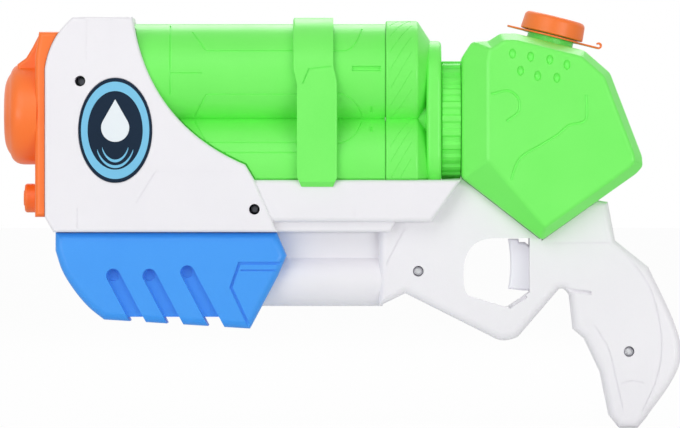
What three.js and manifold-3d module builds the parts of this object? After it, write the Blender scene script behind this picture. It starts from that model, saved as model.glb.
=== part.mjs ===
// Pump-action water squirter: twin-lobed front tank, rear tank with screw cap, pump grip, trigger, hand grip.
// Lengths in millimetres. The work is laid out from the housing: X runs back from its front face, Y across,
// Z up from its floor. The finished group is moved so that the middle of the hand grip is the origin.
import * as THREE from "three";
import { mergeVertices } from "three/addons/utils/BufferGeometryUtils.js";
import Module from "manifold-3d";

const wasm = await Module();
wasm.setup();

// Walls and gaps
const wall = 2.4; // moulded wall of the housing
const fit = 0.3; // between pieces that seat on each other
const tankFit = 0.6; // between a tank and the housing round it
const running = 0.5; // round a piece that slides
const parting = 0.1; // half the gap between the two halves of a moulding
const past = 1; // how far a cut runs past a face, or a boss into the wall it grows from
const far = 400; // reach of cutting blocks

// Front tank: two lobes side by side, one above the other
const lobeRadius = 30;
const lobeMerge = 6; // depth to which the lobes run into each other
const tankAxis = 67.8; // height of the crease between the lobes
const tankBase = 20; // height of the flat underside
const tankFront = 30;
const barrelLength = 172.8;
const tankWall = 2.2;
const noseRound = 8;
const capLength = 19.2; // straight part of the end cap
const capStep = 1.8; // end cap standing proud of the barrel
const taperLength = 7.8;
const taperRadius = 20;
const lipLength = 6; // end cap lip inside the barrel
const lipWall = 1.5;
const flangeLength = 6.6;
const flangeHalfHeight = 46.8;
const flangeHalfWidth = 26;
const collarLength = 12;
const collarHalfHeight = 34.8;
const collarHalfWidth = 24;
const collarRibs = 32;
const collarRibDepth = 1.2;
const linkRadius = 12; // pipe from the rear tank through collar and flange
const linkBore = 9.6;
const linkGroove = { front: 4.2, rear: 2, depth: 1.8 }; // for the ring, from the back of the flange

const lobeOffset = lobeRadius - lobeMerge / 2;
const upperLobe = tankAxis + lobeOffset;
const lowerLobe = tankAxis - lobeOffset;
const barrelEnd = tankFront + barrelLength;
const capEnd = barrelEnd + capLength;
const taperEnd = capEnd + taperLength;
const flangeEnd = taperEnd + flangeLength;
const rearFront = flangeEnd + collarLength; // front face of the rear tank

// Housing, front block
const troughTop = 31.2; // edge of the trough the tank lies in
const ease = 0.4; // extra room inside the flat walls of the front block
const blockHalf = lobeRadius + tankFit + ease + wall;
const blockTop = upperLobe + lobeRadius + tankFit + ease + wall;
const blockEdge = 4;
const chinLength = 5;
const chinHeight = 9;
const browLength = 16.8;
const browDrop = 31;
const browPull = { x: 2.5, drop: 12 };
const blockTopEnd = 52.2;
const sweepPull = { x: 61.8, z: 64.2 };
const sweepEnd = { x: 119.4, rise: 9 };
const shoulder = 124.8;
const blockHeel = 138.6;

// Housing, trough behind the block and rail under it
const troughHalf = Math.sqrt(lobeRadius ** 2 - (lowerLobe - troughTop) ** 2) + tankFit + wall;
const troughFloor = 6;
const troughEdge = 3;
const troughFront = 112;
const troughHeel = 18; // lower rear corner, in front of the rear tank
const railHalf = 26;
const railEdge = 2;
const railSlant = 12;
const rimEdge = 1; // small rounding of inner walls and cut-outs
// Plates under the tank, the third one placed from the charge port
const cradle = { first: 60, second: 145, third: 14, side: 11, half: 4, thick: 2.4 };

// Pump: grip sliding on a guide tube hung under the housing by a web
const pumpFront = 6;
const pumpLength = 138;
const pumpHalf = 27;
const pumpEdge = 7;
const pumpTravel = 54;
const pumpWall = 2.4;
const tubeRadius = 15.6;
const tubeAxis = -28.8;
const tubeWall = 2.4;
const webHalf = 8;
const rodSetback = 14; // rod end behind the grip's sloping nose
const socketLength = 14; // boss in the grip that takes the rod
const socketRadius = 8;
const rodRadius = 4;
const pinRadius = 1.5;
const glandFlange = 2.4;
const glandLength = 9;
const cylinderWall = 1.6;
const pistonLength = 8;
const pistonGroove = { half: 1, depth: 1.6 };
const pistonRing = { inset: 0.9, thick: 0.65 };
const pistonSocket = 1.7; // closed end of the piston behind the rod
const headSpigot = 6.5;
const headFlange = 10;
const portStub = 9.4; // stub of the cylinder head that takes the charge hose
const checkPocket = { radius: 6.5, depth: 3 };
const checkDisc = { front: 0.6, face: 4.4, rim: 6 };

// Side view of the grip: X from its nose or its tail, heights from its top or from the tube axis
const pumpNose = { drop: 12, chin: { x: 16, z: -11.7 }, sole: { x: 29, z: -23.4 } };
const pumpTail = { lip: 6, drop: 14, hock: { x: 5.4, z: 2.4 }, heel: { x: 22, z: -28.8 } };
const pumpRibs = { front: 90, rear: 14 };
const grooves = {
  count: 3, first: 32.4, pitch: 22.2, top: 2.8, lean: 0.56, half: 4, depth: 2.6, notch: -23.2, foot: 60,
};

const pumpEnd = pumpFront + pumpLength;
const rodFront = pumpFront + rodSetback;
const socketEnd = rodFront + socketLength;
const pinAt = rodFront + socketLength / 2;
const glandFront = socketEnd + pumpTravel + running;
const tubeFront = glandFront + glandFlange + fit;
const bootFront = pumpEnd + pumpTravel + 2 * running; // housing face the grip stops at
const bore = tubeRadius - tubeWall;
const cylinderRadius = bore - tankFit;
const cylinderBore = cylinderRadius - cylinderWall;
const pistonFront = tubeFront + glandLength + running;
const pistonMiddle = pistonFront + pistonLength / 2;
const pistonEnd = pistonFront + pistonLength;
const headFront = pistonEnd + pumpTravel + running;
const cylinderEnd = headFront + headSpigot;
const portAt = cylinderEnd + fit + headFlange / 2; // charge port, straight up into the tank
const railEnd = bootFront + 7;

// Rear frame: trigger guard and hand grip. X is measured from the front face of the rear tank.
const frameHalf = 17;
const frameEdge = 5;
const guardToe = { x: 15.8, z: -36.6 }; // X from the face the pump grip stops at
const guardKeel = { x: 26, z: -66.5 };
const keelFront = { x: 6, rise: 3 };
const keelRear = { x: 8, rise: 4 };
const guardHeel = { x: 58.2, z: -34.2 };
const throat = { x: 62, z: -32.4 };
const gripFront = { x: 65, z: -38 };
const gripLedge = { x: 67.2, z: -58.2 };
const gripStep = { x: 74, z: -64 };
const gripBelly = { x: 83.5, z: -84 };
const gripToe = { x: 88.8, z: -110 };
const gripButt = { front: 94.5, back: 105.5, z: -117 };
const gripHeel = { x: 111, z: -110.5 };
const gripBack = { x: 131.6, z: -72 };
const gripNeck = { x: 112, z: -21 };
const gripTang = { x: 92, z: -5 };
const frameTopRear = { x: 87.6, z: 18 };

// Finger opening and trigger
const openingFront = 1.2;
const openingRear = 40.8;
const openingTop = -3.6;
const openingRearFoot = -36;
const openingFoot = { x: 27, z: -45 };
const openingToe = { x: 6, z: -38.5 };
const openingCrown = { x: 20, drop: 22 };
const triggerFront = 28.2;
const triggerHalf = 6;
const triggerTravel = 6;
const triggerFlange = 3.5;
const triggerFlangeHalf = 8;
const triggerEdge = 1.2;
const triggerCrown = 4; // flat top of the blade
const triggerDrop = 7.6; // top of the blade where it enters the housing
const triggerFoot = { front: 2, rear: 1, back: 4, flange: 3.5 };
const triggerStep = 0.5; // blade short of the back of its flange
const slotTop = 2; // head of the slot in the housing below the top of the opening
const plungerSocket = 4;

// Release valve behind the trigger
const valveAxis = -21;
const valveRadius = 8;
const valveBore = 5.2;
const valveLength = 36;
const plungerRadius = 2;
const plungerHead = 4;
const plungerGroove = { half: 0.8, depth: 1.3 };
const plungerRing = { inset: 0.8, thick: 0.55 };
const springWire = 0.7;
const springTurns = 6;
const springInset = 0.6; // between the coil and the bore
const plugLength = 4;
const plugFlange = { inset: 0.6, thick: 2.3 };
const sumpBehind = 1.7; // outlet of the rear tank, behind the front of the plunger head
const sumpRadius = 4;
const sumpWall = 1.6;
const cupWall = 2.2;
const cupHeight = 6; // of the cup on the valve that takes the outlet
const cupFloor = 2;
const saddle = { x: 14, thick: 4, half: 5 }; // rests of the valve in the grip
const outlet = { length: 5, half: 2, drop: 1, stub: 0.6, channel: 0.8 }; // of the valve, at its left side

// Rear tank
const rearHalf = 36;
const rearEdge = { in: 12, depth: 9 }; // facets between the sides and the rim
const rearWall = 2.2;
const rearFoot = 32.4; // lower front corner
const rearTip = { x: 48, z: -4.8 };
const rearTail = { x: 110, z: 39 };
const rearCrown = { x: 88.5, z: 95 };
const rearShoulder = { x: 73.2 };
const rearTopFront = { x: 23, rear: 32.4, z: 118.5 };
const rearStep = { x: 16, z: 114 };
const rearBrow = { x: 6, z: 113.4 };
const rearFrontTop = 104;

// Filler: neck, cap, gasket and tether, along an axis square to the sloping top
const fillerTilt = THREE.MathUtils.degToRad(14);
const fillerAt = 53;
const neckRadius = 14;
const neckBore = 11.6;
const neckHeight = 13;
const neckSpigot = { radius: 12.8, depth: 3 }; // in the top of the tank
const capRadius = 19.1;
const capLid = 1.6;
const capShoulder = { drop: 2.4, in: 0.9 };
const capRim = { drop: 0.7, in: 1.7 };
const capFace = 3.4; // flat top in from the rim
const gasketThick = 0.8;
const gasketLip = 1.5; // gasket inside the bore of the neck
const gasketInset = 0.2;
const tetherBottom = 3.5;
const tetherThick = 1.1;
const tetherRing = 4; // width of the ring round the neck
const tetherReach = 31;
const tetherHalf = 4;
const tetherCurl = 4;

const gasketTop = neckHeight + fit + gasketThick;
const capTop = gasketTop + fit + capLid;
const capBottom = tetherBottom + tetherThick + 2 * fit;

// Nozzle end
const muzzleHeight = 70.8;
const lowerHeight = 20.4;
const shroudThick = 6;
const shroudHalf = 30;
const shroudTop = 119.4;
const shroudBottom = 9;
const shroudEdge = 3;
const shroudBrow = { x: 2.4, drop: 15 };
const drumRadius = 30.3;
const drumFront = -25.2;
// Rounded front of the drum: back from its face, in from its side
const drumRound = [
  { back: 12, in: 0 },
  { back: 7.8, in: 0.9 },
  { back: 5, in: 4.2 },
  { back: 2, in: 8 },
  { back: 0.7, in: 11 },
  { back: 0, in: 16 },
];
const mouthRadius = 11.5;
const mouthDepth = 13;
const mouthTaper = 1;
const hoodHalf = 13;
const hoodEdge = 2;
// Hood over the drum: back from its face, up from its axis
const hoodFoot = { back: 8, up: 20 };
const hoodBrow = { back: 8, up: 29.6 };
const hoodRise = { back: 13.2, up: 33.4 };
const hoodCrown = { back: 16.8, up: 39.4 };
const spigotRadius = 14; // shroud spigots in the front wall
const lowerSpigot = 7.5;
const spigotLength = 2.5; // past the front wall
const lowerBoss = { radius: 8.7, front: -13.2, chamfer: 1.8, in: 1.2 };
const lowerSeat = { depth: 3, wide: 2 };
const lowerTip = { length: 5, proud: 0.6, taper: 0.6, bore: 1.1 };
const tip = { setback: 0.5, bore: 1.5, flange: 2, rim: 2.4, lip: 2, cone: 3, nose: 9, end: 3.6 };
const ringGroove = { depth: 1.7, length: 2.4 };
const nozzleRing = { inset: 1, thick: 0.6 };
const outletRadius = 5;
const lowerOutlet = 3.4;
const manifoldAt = 12;
const manifoldRadius = 4.2;
const manifoldWall = 1.6;
const manifoldFoot = 9; // below the lower nozzle
const inletDrop = 6; // hose stub below the lower nozzle
const inletLength = 10;
const branchBore = 2;

const tipEnd = -shroudThick + tip.setback;
const lowerTipEnd = lowerBoss.front + lowerSeat.depth - fit + lowerTip.length;

// Strap, badge, hoses and screws
const strapFront = 150;
const strapLength = 22.8;
const strapThick = 3.4;
const strapFoot = 27;
const strapChamfer = 3;
const badgeAt = { x: 42, z: 60.6 };
const badgeHalf = { x: 21.9, z: 31.2 };
const badgeSink = 0.8;
const badgeThick = 1.4;
const badgeLift = 0.05;
const hoseRadius = 2.8;
const hoseRun = { toe: 35.4, boot: 23.4, low: -32.7, channel: 32 }; // bends of the nozzle hose
const hoseSides = 5;
const stubRadius = 1.5;
const stubBore = 0.9;
const tankStub = 6;
const hoseBore = (stubRadius + fit / 2) / Math.cos(Math.PI / hoseSides);
const channelHeight = 6; // run of the nozzle hose under the tank
const channelSide = -20;
const screwRadius = 1.5;
const screwHead = { radius: 2.7, height: 2, slot: 1.7, slit: 0.45, depth: 1 };
const screwLength = 15;
const screwBite = 7; // length in the right half
const pilotFit = 0.1;
const pilotSpare = 2;
const postWall = 1.4;
const browScrew = { ahead: 9, z: 90 }; // in front of the tank
const heelScrew = { x: 124.8, drop: 6.4 }; // below the tank
const guardScrew = { x: 23.6, z: -23.4 }; // behind the face the pump grip stops at
const gripScrew = { x: 100.2, z: -71.4 }; // behind the front of the rear tank

const screwSeat = screwLength - screwBite; // under the head, from the parting plane
const screwRecess = screwHead.radius + running;
const postRadius = screwRecess + postWall;
const screwSpots = [
  { x: tankFront - browScrew.ahead, z: browScrew.z, half: blockHalf },
  { x: heelScrew.x, z: tankBase - heelScrew.drop, half: blockHalf },
  { x: bootFront + guardScrew.x, z: guardScrew.z, half: frameHalf },
  { x: rearFront + gripScrew.x, z: gripScrew.z, half: frameHalf },
];

// Hand grip centre, the origin of the finished part
const handBehind = 99; // behind the front of the rear tank
const handHeight = -64.8;

// Finishes
function finish(color, roughness, metalness = 0) {
  return new THREE.MeshStandardMaterial({ color, roughness, metalness });
}

const white = finish("#f1eff3", 0.45);
const green = finish("#70f060", 0.4);
const orange = finish("#ff7d32", 0.42);
const blue = finish("#3f98ff", 0.42);
const natural = finish("#e4e6e4", 0.5);
const hoseClear = finish("#d5dde0", 0.4);
const rubber = finish("#2a2a2e", 0.8);
const steel = finish("#b9bdc2", 0.3, 1);
const navy = finish("#16263a", 0.4);
const grey = finish("#c3c5d2", 0.45);

// Turning three.js geometry into solids and back
function solid(geometry) {
  geometry.deleteAttribute("normal");
  geometry.deleteAttribute("uv");
  const merged = mergeVertices(geometry, 1e-4);
  const index = merged.index.array;
  const out = [];
  const inward = [];
  for (let i = 0; i < index.length; i += 3) {
    const [a, b, c] = index.slice(i, i + 3);
    if (a === b || b === c || c === a) continue;
    out.push(a, b, c);
    inward.push(a, c, b);
  }
  const make = (triangles) =>
    new wasm.Manifold(
      new wasm.Mesh({
        numProp: 3,
        vertProperties: merged.getAttribute("position").array,
        triVerts: new Uint32Array(triangles),
      }),
    );
  const made = make(out);
  return made.volume() > 0 ? made : make(inward);
}

function join(...solids) {
  return solids.reduce((sum, next) => sum.add(next));
}

function cut(from, ...solids) {
  return solids.reduce((rest, next) => rest.subtract(next), from);
}

function geometryOf(shape) {
  const data = shape.getMesh();
  const geometry = new THREE.BufferGeometry();
  geometry.setAttribute("position", new THREE.BufferAttribute(new Float32Array(data.vertProperties), 3));
  geometry.setIndex(new THREE.BufferAttribute(new Uint32Array(data.triVerts), 1));
  geometry.computeVertexNormals();
  return geometry;
}

function piece(name, shape, material) {
  const mesh = new THREE.Mesh(geometryOf(shape), material);
  mesh.name = name;
  return mesh;
}

// Plain solids
const acrossY = new THREE.Matrix4().makeBasis(
  new THREE.Vector3(1, 0, 0),
  new THREE.Vector3(0, 0, 1),
  new THREE.Vector3(0, -1, 0),
);
const alongX = new THREE.Matrix4().makeBasis(
  new THREE.Vector3(0, 1, 0),
  new THREE.Vector3(0, 0, 1),
  new THREE.Vector3(1, 0, 0),
);

function box(x0, x1, y0, y1, z0, z1) {
  const geometry = new THREE.BoxGeometry(x1 - x0, y1 - y0, z1 - z0);
  return solid(geometry.translate((x0 + x1) / 2, (y0 + y1) / 2, (z0 + z1) / 2));
}

function rodX(x0, x1, radius, z, sides = 16, y = 0) {
  const geometry = new THREE.CylinderGeometry(radius, radius, x1 - x0, sides).rotateZ(-Math.PI / 2);
  return solid(geometry.translate((x0 + x1) / 2, y, z));
}

function rodY(y0, y1, radius, x, z, sides = 12) {
  return solid(new THREE.CylinderGeometry(radius, radius, y1 - y0, sides).translate(x, (y0 + y1) / 2, z));
}

function rodZ(z0, z1, radius, x, sides = 12, y = 0) {
  const geometry = new THREE.CylinderGeometry(radius, radius, z1 - z0, sides).rotateX(Math.PI / 2);
  return solid(geometry.translate(x, y, (z0 + z1) / 2));
}

// Outline [along, radius] turned about an axis parallel to X at height z, or about Z
function turnedX(outline, z, sides = 20, y = 0) {
  const points = outline.map(([along, radius]) => new THREE.Vector2(radius, along));
  points.push(points[0]);
  return solid(new THREE.LatheGeometry(points, sides).rotateZ(-Math.PI / 2).translate(0, y, z));
}

function turnedZ(outline, sides = 24, x = 0) {
  const points = outline.map(([along, radius]) => new THREE.Vector2(radius, along));
  points.push(points[0]);
  return solid(new THREE.LatheGeometry(points, sides).rotateX(Math.PI / 2).translate(x, 0, 0));
}

function ringX(x, z, radius, thick, sides = 18) {
  return solid(new THREE.TorusGeometry(radius, thick, 5, sides).rotateY(Math.PI / 2).translate(x, 0, z));
}

// Side view [x, z] points joined by straight lines
function polygon(points) {
  return new THREE.Shape(points.map(([x, z]) => new THREE.Vector2(x, z)));
}

// Outline with no point twice in a row, where an arc starts at the end of a line
function clean(outline, curve) {
  const points = outline.getPoints(curve);
  return new THREE.Shape(points.filter((p, i) => p.distanceTo(points.at(i - 1)) > 1e-3));
}

// Side view thickened evenly to both sides of the middle, its rims rounded, its outline grown or shrunk
function slab(outline, half, edge, grow = 0, depth = edge, steps = 2, curve = 6) {
  const geometry = new THREE.ExtrudeGeometry(clean(outline, curve), {
    depth: 2 * (half - depth),
    bevelThickness: depth,
    bevelSize: edge,
    bevelOffset: grow - edge,
    bevelSegments: steps,
  });
  return solid(geometry.applyMatrix4(acrossY).translate(0, half - depth, 0));
}

function prism(outline, y0, y1, curve = 4) {
  const geometry = new THREE.ExtrudeGeometry(clean(outline, curve), { depth: y1 - y0, bevelEnabled: false });
  return solid(geometry.applyMatrix4(acrossY).translate(0, y1, 0));
}

// End view [y, z] run from x0 to x1
function bar(outline, x0, x1, curve = 12) {
  const geometry = new THREE.ExtrudeGeometry(clean(outline, curve), { depth: x1 - x0, bevelEnabled: false });
  return solid(geometry.applyMatrix4(alongX).translate(x0, 0, 0));
}

function roundOutline(radius, sides) {
  const angle = (i) => (2 * Math.PI * i) / sides;
  return Array.from(
    { length: sides }, (_, i) => new THREE.Vector2(radius * Math.cos(angle(i)), radius * Math.sin(angle(i))),
  );
}

function pipe(points, radius, inner, steps, sides) {
  const ring = new THREE.Shape(roundOutline(radius, sides));
  ring.holes.push(new THREE.Path(roundOutline(inner, sides).reverse()));
  const route = new THREE.CatmullRomCurve3(points.map((p) => new THREE.Vector3(...p)));
  return solid(new THREE.ExtrudeGeometry(ring, { steps, extrudePath: route, bevelEnabled: false }));
}

function halves(whole) {
  const left = box(-far, far, -far, -parting, -far, far);
  const right = box(-far, far, parting, far, -far, far);
  return [whole.intersect(left), whole.intersect(right)];
}

// Two lobes along X from a turned outline, flat underneath
function lobes(outline, base, sides = 28) {
  const both = join(turnedX(outline, upperLobe, sides), turnedX(outline, lowerLobe, sides));
  return cut(both, box(-far, far, -far, far, -far, base));
}

function plainLobes(x0, x1, radius, base, sides) {
  return lobes([[x0, 0], [x0, radius], [x1, radius], [x1, 0]], base, sides);
}

function stadium(halfWidth, halfHeight) {
  const flat = halfHeight - halfWidth;
  return new THREE.Shape()
    .absarc(0, tankAxis + flat, halfWidth, 0, Math.PI)
    .absarc(0, tankAxis - flat, halfWidth, Math.PI, 2 * Math.PI);
}

// Outlines of the housing
const blockOutline = new THREE.Shape()
  .moveTo(chinLength, 0)
  .lineTo(0, chinHeight)
  .lineTo(0, blockTop - browDrop)
  .quadraticCurveTo(browPull.x, blockTop - browPull.drop, browLength, blockTop)
  .lineTo(blockTopEnd, blockTop)
  .quadraticCurveTo(sweepPull.x, sweepPull.z, sweepEnd.x, troughTop + sweepEnd.rise)
  .lineTo(shoulder, troughTop)
  .lineTo(blockHeel, 0);

const troughRear = rearFront - running;
const troughOutline = polygon([
  [troughFront, troughFloor],
  [troughFront, troughTop],
  [troughRear, troughTop],
  [rearFront - troughHeel, troughFloor],
]);
const railOutline = polygon([
  [troughFront, 0],
  [troughFront, troughTop - 2 * wall],
  [railEnd + railSlant, troughTop - 2 * wall],
  [railEnd, 0],
]);
const webOutline = polygon([
  [tubeFront, tubeAxis],
  [tubeFront, wall],
  [bootFront + wall, wall],
  [bootFront + wall, tubeAxis],
]);

function frameOutline() {
  const at = (p) => [rearFront + p.x, p.z];
  const shape = new THREE.Shape()
    .moveTo(bootFront, troughTop - wall / 2)
    .lineTo(bootFront, tubeAxis - tubeRadius)
    .lineTo(bootFront + guardToe.x, guardToe.z)
    .lineTo(rearFront + guardKeel.x - keelFront.x, guardKeel.z + keelFront.rise)
    .quadraticCurveTo(...at(guardKeel), rearFront + guardKeel.x + keelRear.x, guardKeel.z + keelRear.rise)
    .lineTo(...at(guardHeel))
    .quadraticCurveTo(...at(throat), ...at(gripFront))
    .lineTo(...at(gripLedge))
    .lineTo(...at(gripStep))
    .lineTo(...at(gripBelly))
    .lineTo(...at(gripToe))
    .lineTo(rearFront + gripButt.front, gripButt.z)
    .lineTo(rearFront + gripButt.back, gripButt.z)
    .lineTo(...at(gripHeel));
  shape.splineThru([gripBack, gripNeck].map((p) => new THREE.Vector2(...at(p))));
  return shape.lineTo(...at(gripTang)).lineTo(...at(frameTopRear)).lineTo(rearFront, troughTop - wall / 2);
}

const openingOutline = new THREE.Shape()
  .moveTo(rearFront + openingRear, openingTop)
  .lineTo(rearFront + openingRear, openingRearFoot)
  .lineTo(rearFront + openingFoot.x, openingFoot.z)
  .lineTo(rearFront + openingToe.x, openingToe.z)
  .quadraticCurveTo(
    rearFront + openingFront, openingToe.z, rearFront + openingFront, openingTop - openingCrown.drop,
  )
  .quadraticCurveTo(rearFront + openingFront, openingTop, rearFront + openingCrown.x, openingTop);

const topSlope = Math.tan(fillerTilt);
const rearTop = (x) => rearTopFront.z - (x - rearTopFront.rear) * topSlope;
const rearOutline = polygon(
  [
    [0, rearFoot],
    [0, rearFrontTop],
    [rearBrow.x, rearBrow.z],
    [rearStep.x, rearStep.z],
    [rearTopFront.x, rearTopFront.z],
    [rearTopFront.rear, rearTopFront.z],
    [rearShoulder.x, rearTop(rearShoulder.x)],
    [rearCrown.x, rearCrown.z],
    [rearTail.x, rearTail.z],
    [rearTip.x, rearTip.z],
  ].map(([x, z]) => [rearFront + x, z]),
);

// Room that the front tank, its flange and the collar take in the housing
function tankRoom() {
  const flangeRoom = stadium(flangeHalfWidth + tankFit, flangeHalfHeight + tankFit);
  const collarRoom = stadium(collarHalfWidth + tankFit, collarHalfHeight + tankFit);
  return join(
    plainLobes(tankFront - tankFit, taperEnd, lobeRadius + tankFit, tankBase - tankFit),
    bar(flangeRoom, taperEnd - tankFit, flangeEnd + tankFit),
    bar(collarRoom, flangeEnd, rearFront),
  );
}

// Release valve layout
const flangeFront = openingRear + wall + fit;
const flangeRear = flangeFront + triggerFlange;
const valveFront = rearFront + flangeRear + triggerTravel + running;
const headAt = valveFront + wall + triggerTravel;
const valveEnd = valveFront + valveLength;
const sumpAt = headAt + sumpBehind;
const outletSide = -frameHalf + wall + hoseRadius + fit;

function housing() {
  const frame = frameOutline();
  const outer = join(
    slab(blockOutline, blockHalf, blockEdge),
    slab(troughOutline, troughHalf, troughEdge),
    slab(railOutline, railHalf, railEdge),
    slab(webOutline, webHalf, rimEdge),
    rodX(tubeFront, bootFront + wall, tubeRadius, tubeAxis, 24),
    slab(frame, frameHalf, frameEdge),
  );
  const frameInside = cut(
    slab(frame, frameHalf - wall, frameEdge - wall, -wall, frameEdge - wall, 1),
    slab(openingOutline, far, wall, wall, rimEdge, 1),
    slab(rearOutline, far, rimEdge, fit + wall),
  );
  const inside = join(
    slab(blockOutline, blockHalf - wall, blockEdge - wall, -wall, blockEdge - wall, 1),
    slab(troughOutline, troughHalf - wall, rimEdge, -wall, rimEdge, 1),
    slab(railOutline, railHalf - wall, rimEdge, -wall, rimEdge, 1),
    box(tubeFront + wall, bootFront + 2 * wall, wall - webHalf, webHalf - wall, tubeAxis, 2 * wall + past),
    rodX(tubeFront - past, bootFront + 2 * wall, bore, tubeAxis, 24),
    frameInside,
  );
  const posts = screwSpots.map(({ x, z, half }) => rodY(past - half, half - past, postRadius, x, z));
  const shell = join(cut(outer, inside), ...posts, ...cradleRests(), ...valveRests());
  const wells = screwSpots.map(({ x, z, half }) => rodY(-half - past, -screwSeat, screwRecess, x, z));
  const shanks = screwSpots.map(({ x, z }) => rodY(-screwSeat - past, 0, screwRadius + fit, x, z));
  const pilotEnd = screwBite + pilotSpare;
  const pilots = screwSpots.map(({ x, z }) => rodY(-past, pilotEnd, screwRadius + pilotFit, x, z));
  const triggerSlot = box(
    rearFront + openingRear - past, rearFront + openingRear + wall + past / 5,
    -triggerHalf - running, triggerHalf + running, openingRearFoot, openingTop - slotTop,
  );
  return cut(
    shell,
    slab(openingOutline, far, rimEdge),
    slab(rearOutline, far, rimEdge, fit),
    tankRoom(),
    triggerSlot,
    rodZ(valveAxis, rearTail.z, sumpRadius + past, sumpAt),
    rodX(-past, wall + past, spigotRadius + fit, muzzleHeight, 24),
    rodX(-past, wall + past, lowerSpigot + fit, lowerHeight),
    ...[-1, 1].map((side) => badge(side, fit)),
    ...wells,
    ...shanks,
    ...pilots,
  );
}

// Upright plates that the tank lies on
function cradleRests() {
  const spots = [cradle.first, cradle.second, portAt + cradle.third];
  const thin = cradle.thick / 2;
  const rest = (x, y) =>
    box(x - thin, x + thin, y - cradle.half, y + cradle.half, wall - past, tankBase - fit);
  return spots.flatMap((x) => [rest(x, -cradle.side), rest(x, cradle.side)]);
}

// Ribs that hold the release valve from both sides
function valveRests() {
  const inner = valveRadius + fit;
  const reach = frameHalf - wall + past / 2;
  const start = valveFront + saddle.x;
  return [[-reach, -inner], [inner, reach]].map(([y0, y1]) =>
    box(start, start + saddle.thick, y0, y1, valveAxis - saddle.half, valveAxis + saddle.half),
  );
}

function badge(side, grow = 0) {
  const oval = new THREE.Shape().absellipse(
    badgeAt.x, badgeAt.z, badgeHalf.x + grow, badgeHalf.z + grow, 0, 2 * Math.PI,
  );
  const inner = blockHalf - badgeSink + (grow > 0 ? 0 : badgeLift);
  const outer = inner + badgeThick;
  return side < 0 ? prism(oval, -outer, -inner, 14) : prism(oval, inner, outer, 14);
}

function screw({ x, z }) {
  const headInner = -screwSeat - fit;
  const headOuter = headInner - screwHead.height;
  const blank = join(
    rodY(headOuter, headInner, screwHead.radius, x, z),
    rodY(headInner - screwHead.height / 4, headInner + screwLength, screwRadius, x, z, 12),
  );
  const { slot, slit, depth } = screwHead;
  const slots = [[slot, slit], [slit, slot]].map(([w, h]) =>
    box(x - w, x + w, headOuter - past, headOuter + depth, z - h, z + h),
  );
  return cut(blank, ...slots);
}

// Front tank
function barrel() {
  const round = noseRound * (1 - Math.SQRT1_2);
  const skin = (off) => [
    [tankFront + off, 0],
    [tankFront + off, lobeRadius - noseRound],
    [tankFront + round + off * Math.SQRT1_2, lobeRadius - round - off * Math.SQRT1_2],
    [tankFront + noseRound, lobeRadius - off],
    [barrelEnd + off, lobeRadius - off],
    [barrelEnd + off, 0],
  ];
  return cut(
    join(
      cut(lobes(skin(0), tankBase), lobes(skin(tankWall), tankBase + tankWall)),
      rodZ(tankBase - tankStub, tankBase + past, stubRadius, portAt, 12),
    ),
    rodZ(tankBase - tankStub - past, tankBase + tankWall + past, stubBore, portAt, 10),
  );
}

function endCap() {
  const skin = (start, radius, end) => [
    [start, 0],
    [start, radius],
    [capEnd, radius],
    [taperEnd, end],
    [taperEnd, 0],
  ];
  const proud = cut(
    lobes(skin(barrelEnd + fit, lobeRadius + capStep, taperRadius), tankBase),
    box(-far, far, -far, far, -far, troughTop + past),
  );
  const lipRadius = lobeRadius - tankWall - fit;
  const outer = join(
    proud,
    lobes(skin(barrelEnd + 2 * fit, lobeRadius, taperRadius - capStep), tankBase, 20),
    plainLobes(barrelEnd - lipLength, barrelEnd + fit + past, lipRadius, tankBase + tankWall + fit, 20),
    bar(stadium(flangeHalfWidth, flangeHalfHeight), taperEnd - wall, flangeEnd),
    rodX(capEnd - taperLength, taperEnd, linkRadius + wall + past, tankAxis, 28),
  );
  const hollow = lipRadius - lipWall;
  const mouth = barrelEnd - lipLength - past;
  const inside = join(
    lobes(
      [
        [mouth, 0],
        [mouth, hollow],
        [capEnd, hollow],
        [taperEnd - wall, taperRadius - capStep - 2 * wall],
        [taperEnd - wall, 0],
      ],
      tankBase + tankWall + fit + lipWall,
      18,
    ),
    box(mouth, capEnd, -linkBore, linkBore, lowerLobe, upperLobe),
  );
  const groove = turnedX(
    [
      [flangeEnd - linkGroove.front, 0],
      [flangeEnd - linkGroove.front, linkRadius + linkGroove.depth],
      [flangeEnd - linkGroove.rear, linkRadius + linkGroove.depth],
      [flangeEnd - linkGroove.rear, 0],
    ],
    tankAxis,
  );
  return cut(outer, inside, rodX(capEnd - past, flangeEnd + past, linkRadius + fit, tankAxis, 32), groove);
}

function linkRing() {
  const middle = flangeEnd - (linkGroove.front + linkGroove.rear) / 2;
  const thick = (linkGroove.depth - 2 * fit) / 2;
  return ringX(middle, tankAxis, linkRadius + linkGroove.depth / 2, thick);
}

function collar() {
  const flat = collarHalfHeight - collarHalfWidth;
  const shape = new THREE.Shape();
  const mouths = 4 * collarRibs;
  for (let i = 0; i < mouths; i += 1) {
    const angle = (2 * Math.PI * (i + 0.5)) / mouths;
    const radius = collarHalfWidth - (i % 4 < 2 ? 0 : collarRibDepth);
    const y = radius * Math.cos(angle);
    const z = tankAxis + radius * Math.sin(angle) + flat * Math.sin(angle);
    if (i === 0) shape.moveTo(y, z);
    else shape.lineTo(y, z);
  }
  const body = bar(shape, flangeEnd + fit, rearFront - fit);
  return cut(body, rodX(flangeEnd - past, rearFront + past, linkRadius + fit, tankAxis, 32));
}

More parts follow.
